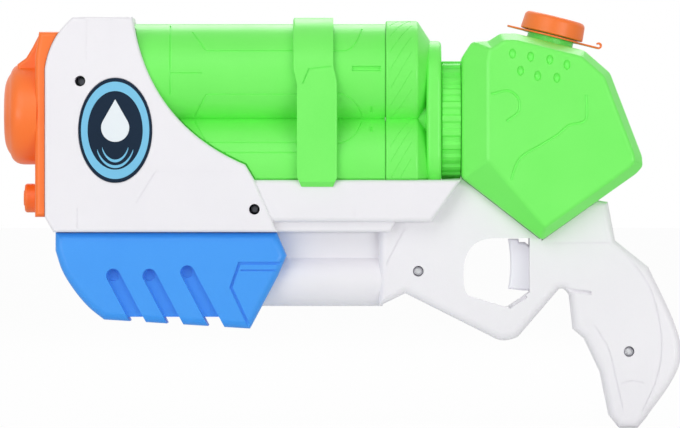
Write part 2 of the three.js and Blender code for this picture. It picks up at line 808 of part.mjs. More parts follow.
function strap() {
  const inner = { y: Math.max(troughHalf, lobeRadius) + fit, z: lobeRadius + fit };
  const outer = { y: inner.y + strapThick, z: inner.z + strapThick };
  const shape = new THREE.Shape()
    .moveTo(outer.y - strapChamfer, strapFoot)
    .lineTo(outer.y, strapFoot + strapChamfer)
    .lineTo(outer.y, upperLobe)
    .absellipse(0, upperLobe, outer.y, outer.z, 0, Math.PI)
    .lineTo(-outer.y, strapFoot + strapChamfer)
    .lineTo(strapChamfer - outer.y, strapFoot)
    .lineTo(-inner.y, strapFoot)
    .lineTo(-inner.y, upperLobe)
    .absellipse(0, upperLobe, inner.y, inner.z, Math.PI, 0, true)
    .lineTo(inner.y, strapFoot);
  return bar(shape, strapFront, strapFront + strapLength, 20);
}

// Rear tank with its outlet, and the holes for link pipe and filler neck
const fillerBase = { x: rearFront + fillerAt, z: rearTop(fillerAt) };
const fillerPlace = new THREE.Matrix4()
  .makeTranslation(fillerBase.x, 0, fillerBase.z)
  .multiply(new THREE.Matrix4().makeRotationY(fillerTilt));

function neckHole() {
  const depth = 2 * rearWall + past;
  const geometry = new THREE.CylinderGeometry(neckSpigot.radius + fit, neckSpigot.radius + fit, depth, 32);
  return solid(geometry.rotateX(Math.PI / 2).translate(0, 0, past - depth / 2).applyMatrix4(fillerPlace));
}

function rearTank() {
  const slope = (rearTail.z - rearTip.z) / (rearTail.x - rearTip.x);
  const sumpTop = rearTip.z + (sumpAt - rearFront - rearTip.x) * slope;
  const outer = join(
    slab(rearOutline, rearHalf, rearEdge.in, 0, rearEdge.depth, 1),
    rodZ(valveAxis + valveRadius + cupFloor, sumpTop + 2 * past, sumpRadius, sumpAt),
  );
  return cut(
    outer,
    slab(rearOutline, rearHalf - rearWall, rearEdge.in - rimEdge, -rearWall, rearEdge.depth - rimEdge, 1),
    rodX(rearFront - past, rearFront + rearWall + past, linkRadius + fit, tankAxis, 32),
    rodZ(valveAxis, sumpTop + 2 * sumpRadius, sumpRadius - sumpWall, sumpAt),
    neckHole(),
  );
}

function linkPipe() {
  return cut(
    rodX(taperEnd - wall, rearFront + rearWall, linkRadius, tankAxis, 32),
    rodX(taperEnd - 2 * wall, rearFront + rearWall + past, linkBore, tankAxis, 32),
  );
}

function fillerNeck() {
  const outline = [
    [-neckSpigot.depth, neckBore],
    [-neckSpigot.depth, neckSpigot.radius],
    [fit, neckSpigot.radius],
    [fit, neckRadius],
    [neckHeight, neckRadius],
    [neckHeight, neckBore],
  ];
  return turnedZ(outline, 32);
}

function fillCap() {
  const body = turnedZ(
    [
      [capBottom, 0],
      [capBottom, capRadius],
      [capTop - capShoulder.drop, capRadius - capShoulder.in],
      [capTop - capRim.drop, capRadius - capRim.in],
      [capTop, capRadius - capFace],
      [capTop, 0],
    ],
    40,
  );
  const hollow = turnedZ([
    [capBottom - past, 0],
    [capBottom - past, neckRadius + running],
    [capTop - capLid, neckRadius + running],
    [capTop - capLid, 0],
  ]);
  return cut(body, hollow);
}

function capGasket() {
  const outline = [
    [gasketTop - gasketThick, neckBore - gasketLip],
    [gasketTop - gasketThick, neckRadius - gasketInset],
    [gasketTop, neckRadius - gasketInset],
    [gasketTop, neckBore - gasketLip],
  ];
  return turnedZ(outline, 32);
}

function capTether() {
  const top = tetherBottom + tetherThick;
  const ring = neckRadius + tetherRing;
  const strip = join(
    turnedZ([[tetherBottom, 0], [tetherBottom, ring], [top, ring], [top, 0]], 32),
    box(-tetherReach, tetherReach, -tetherHalf, tetherHalf, tetherBottom, top),
    box(tetherReach - tetherThick, tetherReach, -tetherHalf, tetherHalf, tetherBottom, top + tetherCurl),
  );
  const hole = [
    [tetherBottom - past, 0],
    [tetherBottom - past, neckRadius + fit],
    [top + past, neckRadius + fit],
    [top + past, 0],
  ];
  return cut(strip, turnedZ(hole, 32));
}

// Nozzle end
function shroud() {
  const plate = slab(
    polygon([
      [-shroudThick, shroudBottom],
      [-shroudThick, shroudTop - shroudBrow.drop],
      [-shroudThick + shroudBrow.x, shroudTop],
      [browLength / 2, shroudTop],
      [browLength / 2, shroudBottom],
    ]),
    shroudHalf, shroudEdge, 0, shroudEdge, 1,
  );
  const root = -shroudThick + past;
  const drum = turnedX(
    [
      [root, 0],
      [root, drumRadius],
      ...drumRound.map((p) => [drumFront + p.back, drumRadius - p.in]),
      [drumFront, 0],
    ],
    muzzleHeight, 32,
  );
  const onHood = (p) => [drumFront + p.back, muzzleHeight + p.up];
  const hood = slab(
    polygon([
      onHood(hoodFoot),
      onHood(hoodBrow),
      onHood(hoodRise),
      onHood(hoodCrown),
      [-shroudThick + shroudBrow.x, shroudTop],
      [browLength / 2, shroudTop],
      [browLength / 2, muzzleHeight + hoodFoot.up],
    ]),
    hoodHalf, hoodEdge, 0, hoodEdge, 1,
  );
  const boss = turnedX(
    [
      [root, 0],
      [root, lowerBoss.radius],
      [lowerBoss.front + lowerBoss.chamfer, lowerBoss.radius],
      [lowerBoss.front, lowerBoss.radius - lowerBoss.in],
      [lowerBoss.front, 0],
    ],
    lowerHeight,
  );
  const front = cut(join(plate, drum, hood, boss), slab(blockOutline, far, rimEdge, fit));
  const spigots = join(
    rodX(-2 * past, wall + spigotLength, spigotRadius, muzzleHeight, 24),
    rodX(-2 * past, wall + spigotLength, lowerSpigot, lowerHeight),
  );
  const mouth = [
    [drumFront - past, 0],
    [drumFront - past, mouthRadius],
    [drumFront + mouthDepth, mouthRadius - mouthTaper],
    [drumFront + mouthDepth, 0],
  ];
  const seat = lowerBoss.front + lowerSeat.depth;
  return cut(
    join(front, spigots),
    turnedX(mouth, muzzleHeight),
    rodX(drumFront, far, outletRadius + fit, muzzleHeight),
    rodX(0, ringGroove.length, outletRadius + ringGroove.depth, muzzleHeight),
    rodX(lowerBoss.front - past, far, lowerOutlet + fit, lowerHeight, 20),
    rodX(lowerBoss.front - past, seat, lowerOutlet + lowerSeat.wide + fit, lowerHeight, 20),
  );
}

function nozzleTip() {
  const seat = drumFront + mouthDepth - fit;
  return turnedX(
    [
      [tipEnd, tip.bore],
      [tipEnd, outletRadius],
      [seat, outletRadius],
      [seat, mouthRadius - tip.flange],
      [seat - tip.lip, mouthRadius - tip.rim],
      [seat - tip.cone, outletRadius + past],
      [seat - tip.nose, tip.end],
      [seat - tip.nose, tip.bore],
    ],
    muzzleHeight, 24,
  );
}

function lowerNozzle() {
  const seat = lowerBoss.front + lowerSeat.depth - fit;
  const front = lowerBoss.front - lowerTip.proud;
  return turnedX(
    [
      [lowerTipEnd, lowerTip.bore],
      [lowerTipEnd, lowerOutlet],
      [seat, lowerOutlet],
      [seat, lowerOutlet + lowerSeat.wide],
      [front, lowerOutlet + lowerSeat.wide - lowerTip.taper],
      [front, lowerTip.bore],
    ],
    lowerHeight, 20,
  );
}

// Upright pipe behind the shroud that feeds both nozzles
function manifold() {
  const foot = lowerHeight - manifoldFoot;
  const inlet = lowerHeight - inletDrop;
  const inletEnd = manifoldAt + inletLength;
  const mouth = tipEnd + fit;
  const lowerMouth = lowerTipEnd + fit;
  const outer = join(
    rodZ(foot, muzzleHeight + outletRadius, manifoldRadius, manifoldAt),
    rodX(mouth, manifoldAt, outletRadius, muzzleHeight),
    rodX(lowerMouth, manifoldAt, lowerOutlet, lowerHeight, 20),
    rodX(manifoldAt, inletEnd, stubRadius, inlet, 12),
  );
  return cut(
    outer,
    rodZ(foot + manifoldWall, muzzleHeight + branchBore, manifoldRadius - manifoldWall, manifoldAt),
    rodX(mouth - past, manifoldAt, outletRadius - branchBore, muzzleHeight),
    rodX(lowerMouth - past, manifoldAt, lowerOutlet - manifoldWall, lowerHeight, 16),
    rodX(manifoldAt, inletEnd + past, stubBore, inlet, 10),
  );
}

function nozzleRingSeal() {
  return ringX(ringGroove.length / 2, muzzleHeight, outletRadius + nozzleRing.inset, nozzleRing.thick);
}

// Pump
const pumpOutline = polygon([
  [pumpFront, -running],
  [pumpEnd - pumpTail.lip, -running],
  [pumpEnd, -pumpTail.drop],
  [pumpEnd - pumpTail.hock.x, tubeAxis + pumpTail.hock.z],
  [pumpEnd - pumpTail.heel.x, tubeAxis + pumpTail.heel.z],
  [pumpFront + pumpNose.sole.x, tubeAxis + pumpNose.sole.z],
  [pumpFront + pumpNose.chin.x, tubeAxis + pumpNose.chin.z],
  [pumpFront, -pumpNose.drop],
]);

// Slanting finger groove, round at its top, in side view
function grooveOutline(i, grow) {
  const x = pumpFront + grooves.first + i * grooves.pitch;
  const top = tubeAxis + grooves.top;
  const half = grooves.half + grow;
  const angle = Math.atan(grooves.lean);
  const side = { x: half * Math.cos(angle), z: half * Math.sin(angle) };
  const foot = { x: grooves.foot * grooves.lean, z: -grooves.foot };
  return new THREE.Shape()
    .moveTo(x + side.x + foot.x, top + side.z + foot.z)
    .lineTo(x + side.x, top + side.z)
    .absarc(x, top, half, angle, angle + Math.PI)
    .lineTo(x - side.x + foot.x, top - side.z + foot.z);
}

function pumpGrip() {
  const skin = slab(pumpOutline, pumpHalf, pumpEdge);
  const innerEdge = pumpEdge - pumpWall;
  const hollow = slab(pumpOutline, pumpHalf - pumpWall, innerEdge, -pumpWall, innerEdge, 1);
  const bottom = box(-far, far, -far, far, -far, tubeAxis + grooves.notch);
  const floor = pumpHalf - grooves.depth;
  const behind = floor - pumpWall;
  const backing = [];
  const channels = [];
  for (let i = 0; i < grooves.count; i += 1) {
    const backWall = cut(
      slab(grooveOutline(i, pumpWall), pumpHalf, rimEdge, 0, rimEdge, 1, 3),
      prism(grooveOutline(i, pumpWall + past), -behind, behind),
    );
    const soleWall = slab(grooveOutline(i, pumpWall), far, rimEdge, 0, rimEdge, 1, 3).intersect(bottom);
    backing.push(backWall.intersect(skin), soleWall.intersect(skin));
    const channel = prism(grooveOutline(i, 0), -far, far);
    channels.push(cut(channel, prism(grooveOutline(i, past), -floor, floor)), channel.intersect(bottom));
  }
  const ribs = [pumpFront + pumpRibs.front, pumpEnd - pumpRibs.rear].map((x) =>
    slab(pumpOutline, pumpHalf - past, pumpEdge - past, -past).intersect(
      box(x, x + pumpWall, -far, far, -far, far),
    ),
  );
  const socket = rodX(pumpFront, socketEnd, socketRadius, tubeAxis);
  const slotFront = tubeFront - pumpTravel - 2 * running;
  return cut(
    join(cut(skin, hollow), ...backing, ...ribs, socket.intersect(skin)),
    ...channels,
    rodX(slotFront, far, tubeRadius + running, tubeAxis, 24),
    box(slotFront, far, -webHalf - running, webHalf + running, tubeAxis, past),
    rodX(rodFront - fit, socketEnd + past, rodRadius + fit, tubeAxis, 16),
    pinHole(),
  );
}

function pinHole() {
  const reach = socketRadius + 2 * past;
  return rodY(-reach, reach, pinRadius + fit, pinAt, tubeAxis, 12);
}

function pumpRod() {
  return cut(rodX(rodFront, pistonEnd - pistonSocket - fit, rodRadius, tubeAxis), pinHole());
}

function piston() {
  const radius = cylinderBore - running;
  const { half, depth } = pistonGroove;
  const outline = [
    [pistonFront, rodRadius + fit],
    [pistonFront, radius],
    [pistonMiddle - half, radius],
    [pistonMiddle - half, radius - depth],
    [pistonMiddle + half, radius - depth],
    [pistonMiddle + half, radius],
    [pistonEnd, radius],
    [pistonEnd, 0],
    [pistonEnd - pistonSocket, 0],
    [pistonEnd - pistonSocket, rodRadius + fit],
  ];
  return turnedX(outline, tubeAxis);
}

function pistonSeal() {
  return ringX(pistonMiddle, tubeAxis, cylinderBore - pistonRing.inset, pistonRing.thick, 24);
}

function cylinderTube() {
  const outline = [
    [tubeFront, cylinderBore],
    [tubeFront, cylinderRadius],
    [cylinderEnd, cylinderRadius],
    [cylinderEnd, cylinderBore],
  ];
  return turnedX(outline, tubeAxis);
}

function gland() {
  const outline = [
    [glandFront, rodRadius + fit],
    [glandFront, tubeRadius - 2 * fit],
    [glandFront + glandFlange, tubeRadius - 2 * fit],
    [glandFront + glandFlange, cylinderBore - fit],
    [tubeFront + glandLength, cylinderBore - fit],
    [tubeFront + glandLength, rodRadius + fit],
  ];
  return turnedX(outline, tubeAxis);
}

function cylinderHead() {
  const end = cylinderEnd + fit + headFlange;
  const body = join(
    turnedX(
      [
        [headFront, 0],
        [headFront, cylinderBore - fit],
        [cylinderEnd + fit, cylinderBore - fit],
        [cylinderEnd + fit, cylinderRadius],
        [end, cylinderRadius],
        [end, 0],
      ],
      tubeAxis,
    ),
    rodZ(tubeAxis + cylinderRadius / 2, tubeAxis + cylinderRadius + portStub, stubRadius, portAt, 12),
  );
  return cut(
    body,
    rodX(headFront - past, headFront + checkPocket.depth, checkPocket.radius, tubeAxis),
    rodX(headFront, portAt + stubBore, stubBore, tubeAxis, 10),
    rodZ(tubeAxis, tubeAxis + cylinderRadius + portStub + past, stubBore, portAt, 10),
  );
}

function checkValve() {
  const front = headFront + checkDisc.front;
  const rear = headFront + checkPocket.depth - fit;
  return turnedX([[front, 0], [front, checkDisc.face], [rear, checkDisc.rim], [rear, 0]], tubeAxis, 20);
}

// Trigger and release valve
function trigger() {
  const at = (x) => rearFront + x;
  const bladeRear = flangeRear - triggerStep;
  const top = openingTop - running;
  const shelf = openingTop - triggerDrop;
  const blade = slab(
    polygon([
      [at(triggerFront), top],
      [at(triggerFront + triggerCrown), top],
      [at(flangeFront), shelf],
      [at(bladeRear), shelf],
      [at(bladeRear), openingRearFoot + triggerFoot.rear],
      [at(openingRear - triggerFoot.back), openingRearFoot + triggerFoot.rear],
      [at(triggerFront), openingRearFoot + triggerFoot.front],
    ]),
    triggerHalf, triggerEdge,
  );
  const flangeFoot = openingRearFoot + triggerFoot.flange;
  const flange = box(
    at(flangeFront), at(flangeRear), -triggerFlangeHalf, triggerFlangeHalf, flangeFoot, shelf,
  );
  const socketStart = at(flangeRear) - plungerSocket;
  const socket = rodX(socketStart, at(flangeRear) + past, plungerRadius + fit, valveAxis, 16);
  return cut(join(blade, flange), socket);
}

const headMiddle = headAt + plungerHead / 2;
const headEnd = headAt + plungerHead;

function plunger() {
  const start = rearFront + flangeRear - plungerSocket + fit;
  const radius = valveBore - fit;
  const { half, depth } = plungerGroove;
  const outline = [
    [start, 0],
    [start, plungerRadius],
    [headAt, plungerRadius],
    [headAt, radius],
    [headMiddle - half, radius],
    [headMiddle - half, radius - depth],
    [headMiddle + half, radius - depth],
    [headMiddle + half, radius],
    [headEnd, radius],
    [headEnd, 0],
  ];
  return turnedX(outline, valveAxis, 20);
}

function plungerSeal() {
  return ringX(headMiddle, valveAxis, valveBore - plungerRing.inset, plungerRing.thick, 20);
}

// Valve body with the cup for the tank's outlet on top and the stub for the nozzle hose at its left side
function releaseValve() {
  const cupTop = valveAxis + valveRadius + cupHeight;
  const stubAxis = valveAxis - outlet.drop;
  const outer = join(
    rodX(valveFront, valveEnd, valveRadius, valveAxis, 20),
    rodZ(valveAxis + valveRadius / 2, cupTop, sumpRadius + cupWall, sumpAt),
    box(
      valveFront, valveFront + outlet.length, outletSide - outlet.half, 0,
      stubAxis - outlet.half, stubAxis + outlet.half,
    ),
    rodX(valveFront - outlet.stub, valveFront + past, stubRadius, stubAxis, 12, outletSide),
  );
  const channel = box(
    valveFront + outlet.length / 2 - outlet.channel, valveFront + outlet.length / 2 + outlet.channel,
    outletSide - outlet.channel, 0, stubAxis - outlet.channel, stubAxis + outlet.channel,
  );
  return cut(
    outer,
    rodX(valveFront + wall, valveEnd + past, valveBore, valveAxis, 20),
    rodX(valveFront - past, valveFront + wall + past, plungerRadius + fit, valveAxis, 16),
    rodZ(valveAxis + valveRadius, far, sumpRadius + fit, sumpAt),
    rodZ(valveAxis, far, sumpRadius - sumpWall, sumpAt),
    rodX(valveFront - outlet.stub - past, valveFront + outlet.length / 2, stubBore, stubAxis, 10, outletSide),
    channel,
  );
}

function valvePlug() {
  const seat = valveEnd + fit;
  const outline = [
    [valveEnd - plugLength, 0],
    [valveEnd - plugLength, valveBore - fit],
    [seat, valveBore - fit],
    [seat, valveRadius - plugFlange.inset],
    [seat + plugFlange.thick, valveRadius - plugFlange.inset],
    [seat + plugFlange.thick, 0],
  ];
  return turnedX(outline, valveAxis, 20);
}

class Helix extends THREE.Curve {
  constructor(start, length, turns, radius, height) {
    super();
    Object.assign(this, { start, length, turns, radius, height });
  }

  getPoint(t) {
    const angle = 2 * Math.PI * this.turns * t;
    const y = this.radius * Math.cos(angle);
    const z = this.height + this.radius * Math.sin(angle);
    return new THREE.Vector3(this.start + this.length * t, y, z);
  }
}

const springStart = headEnd + fit + springWire;
const springLength = valveEnd - plugLength - fit - springWire - springStart;
const springRadius = valveBore - springWire - springInset;
const springPath = new Helix(springStart, springLength, springTurns, springRadius, valveAxis);

function triggerSpring() {
  const wire = new THREE.Shape(roundOutline(springWire, 5));
  const steps = 8 * springTurns;
  return solid(new THREE.ExtrudeGeometry(wire, { steps, extrudePath: springPath, bevelEnabled: false }));
}

// Least gap of a coiled wire to itself, between points at least half a turn apart
function leastGap(path, wire, turns) {
  const perTurn = 48;
  const points = path.getPoints(perTurn * turns);
  let least = Infinity;
  points.forEach((a, i) => {
    for (let j = i + perTurn / 2; j < points.length; j += 1) least = Math.min(least, a.distanceTo(points[j]));
  });
  return least - 2 * wire;
}

const springGap = leastGap(springPath, springWire, springTurns);
console.log(`least gap of the trigger spring to itself ${springGap.toFixed(2)} mm`);

// Hoses
function chargeHose() {
  const low = tubeAxis + cylinderRadius + 4 * fit;
  const high = tankBase - 2 * fit;
  const outline = [[low, hoseBore], [low, hoseRadius], [high, hoseRadius], [high, hoseBore]];
  return turnedZ(outline, 12, portAt);
}

function nozzleHose() {
  const side = outletSide;
  const at = (x) => rearFront + x;
  const keelRun = (openingFoot.z + guardKeel.z) / 2 + 0.6;
  const rise = bootFront + 9.5;
  const points = [
    [valveFront - 0.4, side, valveAxis - 1],
    [valveFront - 1.6, side, valveAxis - 1],
    [valveFront - 2.8, side, valveAxis - 1],
    [at(openingRear + wall + 5.2), side, valveAxis - 9],
    [at(openingRear + wall + 3), side + 2, openingRearFoot - 3],
    [at(openingRear - 0.6), -7, openingFoot.z - 1.5],
    [at(openingFoot.x + 8), -4, openingFoot.z - 6],
    [at(openingFoot.x - 3), 0, keelRun],
    [at(4), 0, openingToe.z - 9],
    [bootFront + hoseRun.toe, 0, openingToe.z - 0.5],
    [bootFront + hoseRun.boot, 0, hoseRun.low],
    [rise + 6, 0, -29],
    [rise, -1, -21],
    [rise - 1, -4, -10],
    [rise - 1.5, -8, 0],
    [rise - 6, -12, channelHeight],
    [rise - 16, -18, channelHeight],
    [rise - hoseRun.channel, channelSide, channelHeight],
    [(rise + blockTopEnd) / 2, channelSide, channelHeight],
    [blockTopEnd + 3, channelSide, channelHeight],
    [blockTopEnd - 10, -13, channelHeight + 1.4],
    [manifoldAt + 20, -3, lowerHeight - inletDrop - 0.6],
    [manifoldAt + 14, 0, lowerHeight - inletDrop],
    [manifoldAt + 10, 0, lowerHeight - inletDrop],
    [manifoldAt + manifoldRadius + 0.8, 0, lowerHeight - inletDrop],
  ];
  return pipe(points, hoseRadius, hoseBore, 48, hoseSides);
}

// Assembly
const [bodyLeft, bodyRight] = halves(housing());
const [gripLeft, gripRight] = halves(pumpGrip());

const work = new THREE.Group();
work.add(
  piece("body_left", bodyLeft, white),
  piece("body_right", bodyRight, white),
  ...screwSpots.map((spot, i) => piece(`body_screw_${i + 1}`, screw(spot), steel)),
  piece("badge_left", badge(-1), navy),
  piece("badge_right", badge(1), navy),
  piece("nozzle_shroud", shroud(), orange),
  piece("nozzle_tip", nozzleTip(), orange),
  piece("lower_nozzle", lowerNozzle(), orange),
  piece("nozzle_oring", nozzleRingSeal(), rubber),
  piece("nozzle_manifold", manifold(), natural),
  piece("front_tank", barrel(), green),
  piece("tank_end_cap", endCap(), green),
  piece("link_oring", linkRing(), rubber),
  piece("tank_collar", collar(), green),
  piece("link_pipe", linkPipe(), green),
  piece("tank_strap", strap(), green),
  piece("rear_tank", rearTank(), green),
  piece("pump_grip_left", gripLeft, blue),
  piece("pump_grip_right", gripRight, blue),
  piece("pump_rod", pumpRod(), natural),
  piece("rod_pin", rodY(-socketRadius, socketRadius, pinRadius, pinAt, tubeAxis, 10), steel),
  piece("pump_piston", piston(), natural),
  piece("piston_oring", pistonSeal(), rubber),
  piece("pump_cylinder", cylinderTube(), natural),
  piece("cylinder_gland", gland(), natural),
  piece("cylinder_head", cylinderHead(), natural),
  piece("check_valve", checkValve(), rubber),
  piece("charge_hose", chargeHose(), hoseClear),
  piece("trigger", trigger(), grey),
  piece("release_valve", releaseValve(), natural),
  piece("release_plunger", plunger(), natural),
  piece("plunger_oring", plungerSeal(), rubber),
  piece("trigger_spring", triggerSpring(), steel),
  piece("valve_plug", valvePlug(), natural),
  piece("nozzle_hose", nozzleHose(), hoseClear),
);

const filler = new THREE.Group();
filler.position.set(fillerBase.x, 0, fillerBase.z);
filler.rotation.y = fillerTilt;
filler.add(
  piece("filler_neck", fillerNeck(), green),
  piece("fill_cap", fillCap(), orange),
  piece("cap_gasket", capGasket(), rubber),
  piece("cap_tether", capTether(), orange),
);
work.add(filler);
work.position.set(-rearFront - handBehind, 0, -handHeight);

const squirter = new THREE.Group();
squirter.name = "water_squirter";
squirter.add(work);
export default squirter;
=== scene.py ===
import math
from functools import partial

import bmesh
import bpy
from mathutils import Matrix, Vector


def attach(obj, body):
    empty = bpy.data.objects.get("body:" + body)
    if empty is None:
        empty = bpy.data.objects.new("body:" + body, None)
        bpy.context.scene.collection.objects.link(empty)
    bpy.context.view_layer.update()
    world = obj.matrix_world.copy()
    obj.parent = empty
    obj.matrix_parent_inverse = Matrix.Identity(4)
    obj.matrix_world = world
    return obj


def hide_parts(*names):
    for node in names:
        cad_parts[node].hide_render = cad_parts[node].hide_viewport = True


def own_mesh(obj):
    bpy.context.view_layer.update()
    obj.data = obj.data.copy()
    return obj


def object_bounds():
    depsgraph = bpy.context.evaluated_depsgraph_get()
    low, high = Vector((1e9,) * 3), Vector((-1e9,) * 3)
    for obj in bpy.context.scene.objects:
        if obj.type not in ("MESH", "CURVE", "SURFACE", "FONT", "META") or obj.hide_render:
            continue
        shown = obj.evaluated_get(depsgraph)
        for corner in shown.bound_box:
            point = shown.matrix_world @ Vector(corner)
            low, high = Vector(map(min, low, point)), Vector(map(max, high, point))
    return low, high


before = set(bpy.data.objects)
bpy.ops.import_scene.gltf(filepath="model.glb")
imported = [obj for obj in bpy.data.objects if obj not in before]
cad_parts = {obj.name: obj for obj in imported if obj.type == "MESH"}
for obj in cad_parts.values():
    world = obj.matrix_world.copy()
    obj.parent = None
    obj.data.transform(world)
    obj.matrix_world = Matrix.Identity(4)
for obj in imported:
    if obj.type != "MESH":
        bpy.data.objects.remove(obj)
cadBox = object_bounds()
scene = bpy.context.scene

# Pieces are laid out in millimetres: x back from the housing's front face, y across, z up from its floor.
# toFrame takes them to metres about the middle of the hand grip.
gripMiddle = Vector((347.4, 0, -64.8))
toFrame = Matrix.Scale(0.001, 4) @ Matrix.Translation(-gripMiddle)
far = 500  # beyond every piece
past = 1  # how far a tool reaches through a face
clear = 3  # how far a side tool stands out from the side
weldDistance = 1e-4
spotDistance = 1e-3
flatEnough = 0.999
alongX = 0.9  # a bar that heads more nearly along x takes y as its up axis
sharpAngle = 34


# Outlines

def pulled(a, pull, b, steps=14):  # curve from a to b, drawn towards pull, without a itself
    spots = []
    for i in range(1, steps + 1):
        t = i / steps
        spots.append(tuple((1 - t) ** 2 * p + 2 * t * (1 - t) * q + t * t * r for p, q, r in zip(a, pull, b)))
    return spots


def arc(centre, radii, start, end, steps):
    turns = [math.radians(start + (end - start) * i / steps) for i in range(steps + 1)]
    return [(centre[0] + radii[0] * math.cos(t), centre[1] + radii[1] * math.sin(t)) for t in turns]


def ellipse(centre, half, steps=96):
    return arc(centre, half, 0, 360, steps)[:-1]


def through(points, steps=6, tension=0.5):  # curve through points: tension 0 gives stretches equal time
    spots = [Vector(p) for p in points]
    if tension:
        spots = [2 * spots[0] - spots[1], *spots, 2 * spots[-1] - spots[-2]]
    else:
        spots = [spots[0], *spots, spots[-1]]
    route = [spots[1]]
    for a, b, c, d in zip(spots, spots[1:], spots[2:], spots[3:]):
        t1 = (b - a).length ** tension
        t2 = t1 + (c - b).length ** tension
        t3 = t2 + (d - c).length ** tension
        for i in range(1, steps + 1):
            t = t1 + (t2 - t1) * i / steps
            ab = a.lerp(b, t / t1)
            bc = b.lerp(c, (t - t1) / (t2 - t1))
            cd = c.lerp(d, (t - t2) / (t3 - t2))
            abc = ab.lerp(bc, t / t2)
            bcd = bc.lerp(cd, (t - t1) / (t3 - t1))
            route.append(abc.lerp(bcd, (t - t1) / (t2 - t1)))
    return [tuple(p) for p in route]


def tidied(outline):  # no spot twice in a row
    return [p for i, p in enumerate(outline) if math.dist(p, outline[i - 1]) > spotDistance]


def corners(spots, closed=False):  # at each spot, the way to the right of the line for an offset of one
    count = len(spots)
    for i, spot in enumerate(spots):
        before = (spot - spots[i - 1]).normalized() if closed or i else None
        after = (spots[(i + 1) % count] - spot).normalized() if closed or i + 1 < count else None
        before, after = before or after, after or before
        yield Vector((before.y + after.y, -before.x - after.x)) / (1 + before.dot(after))


def grown(outline, by):
    outline = tidied(outline)
    area = sum(a[0] * b[1] - b[0] * a[1] for a, b in zip(outline, outline[1:] + outline[:1]))
    side = by if area > 0 else -by
    ways = corners([Vector(p) for p in outline], closed=True)
    return [(x + side * out.x, z + side * out.y) for (x, z), out in zip(outline, ways)]


def dense(line, gap=1.5):  # straight stretches cut into short ones
    spots = [Vector(line[0])]
    for a, b in zip(line, line[1:]):
        a, b = Vector(a), Vector(b)
        count = max(1, round((b - a).length / gap))
        spots += [a.lerp(b, i / count) for i in range(1, count + 1)]
    return [tuple(p) for p in spots]


# Solids

def linked(name, data):
    obj = bpy.data.objects.new(name, data)
    scene.collection.objects.link(obj)
    return obj


def meshed(bm, name="work"):
    mesh = bpy.data.meshes.new(name)
    bm.to_mesh(mesh)
    bm.free()
    return linked(name, mesh)


def solid(bm):
    bmesh.ops.remove_doubles(bm, verts=bm.verts, dist=weldDistance)
    bmesh.ops.recalc_face_normals(bm, faces=bm.faces)
    return meshed(bm)


def copied(obj):
    return linked("work", obj.data.copy())


def combined(operation, base, *tools):
    for tool in tools:
        step = base.modifiers.new("step", "BOOLEAN")
        step.operation = operation
        step.solver = "MANIFOLD"
        step.object = tool
    depsgraph = bpy.context.evaluated_depsgraph_get()
    made = bpy.data.meshes.new_from_object(base.evaluated_get(depsgraph))
    base.modifiers.clear()
    base.data = made
    for tool in tools:
        bpy.data.objects.remove(tool)
    return base


join = partial(combined, "UNION")
cut = partial(combined, "DIFFERENCE")
shared = partial(combined, "INTERSECT")


def placed(obj, matrix):
    obj.data.transform(matrix)
    return obj


def block(low, high):
    low, high = Vector(low), Vector(high)
    stretch = Matrix.Diagonal((*(high - low), 1))
    bm = bmesh.new()
    bmesh.ops.create_cube(bm, size=1, matrix=Matrix.Translation((low + high) / 2) @ stretch)
    return solid(bm)


def below(height):  # all that lies under a height
    return block((-far, -far, -far), (far, far, height))


def rod(start, end, radius, sides=48):
    start, end = Vector(start), Vector(end)
    turn = (end - start).to_track_quat("Z", "Y").to_matrix().to_4x4()
    bm = bmesh.new()
    bmesh.ops.create_cone(
        bm, cap_ends=True, segments=sides, radius1=radius, radius2=radius, depth=(end - start).length,
        matrix=Matrix.Translation((start + end) / 2) @ turn,
    )
    return solid(bm)


def rodX(start, end, z, radius, sides):  # lengthwise, in the middle
    return rod((start, 0, z), (end, 0, z), radius, sides)


def rodY(x, z, start, end, radius, sides):  # across
    return rod((x, start, z), (x, end, z), radius, sides)


def rodZ(x, low, high, radius, sides):  # upright, in the middle
    return rod((x, 0, low), (x, 0, high), radius, sides)


def turned(profile, centre=(0, 0, 0), sides=72, ring=False):  # [along, radius] spots spun about x
    if not ring:
        profile = tidied([(profile[0][0], 0), *profile, (profile[-1][0], 0)])
    bm = bmesh.new()
    verts = [bm.verts.new((along, 0, radius)) for along, radius in profile]
    pairs = list(zip(verts, verts[1:]))
    if ring:
        pairs.append((verts[-1], verts[0]))
    edges = [bm.edges.new(pair) for pair in pairs]
    bmesh.ops.spin(
        bm, geom=verts + edges, cent=(0, 0, 0), axis=(1, 0, 0), angle=2 * math.pi, steps=sides,
        use_merge=True,
    )
    bmesh.ops.translate(bm, verts=bm.verts, vec=centre)
    return solid(bm)


# Where an outline's spot lies when it faces along an axis, at height w
facings = {
    "x": lambda u, v, w: (w, u, v),
    "y": lambda u, v, w: (u, w, v),
    "z": lambda u, v, w: (u, v, w),
}


def prism(outline, spot, low, high):
    bm = bmesh.new()
    face = bm.faces.new([bm.verts.new(spot(u, v, low)) for u, v in outline])
    lifted = bmesh.ops.extrude_face_region(bm, geom=[face])["geom"]
    verts = [g for g in lifted if isinstance(g, bmesh.types.BMVert)]
    bmesh.ops.translate(bm, verts=verts, vec=spot(0, 0, high - low))
    bmesh.ops.recalc_face_normals(bm, faces=bm.faces)
    return bm


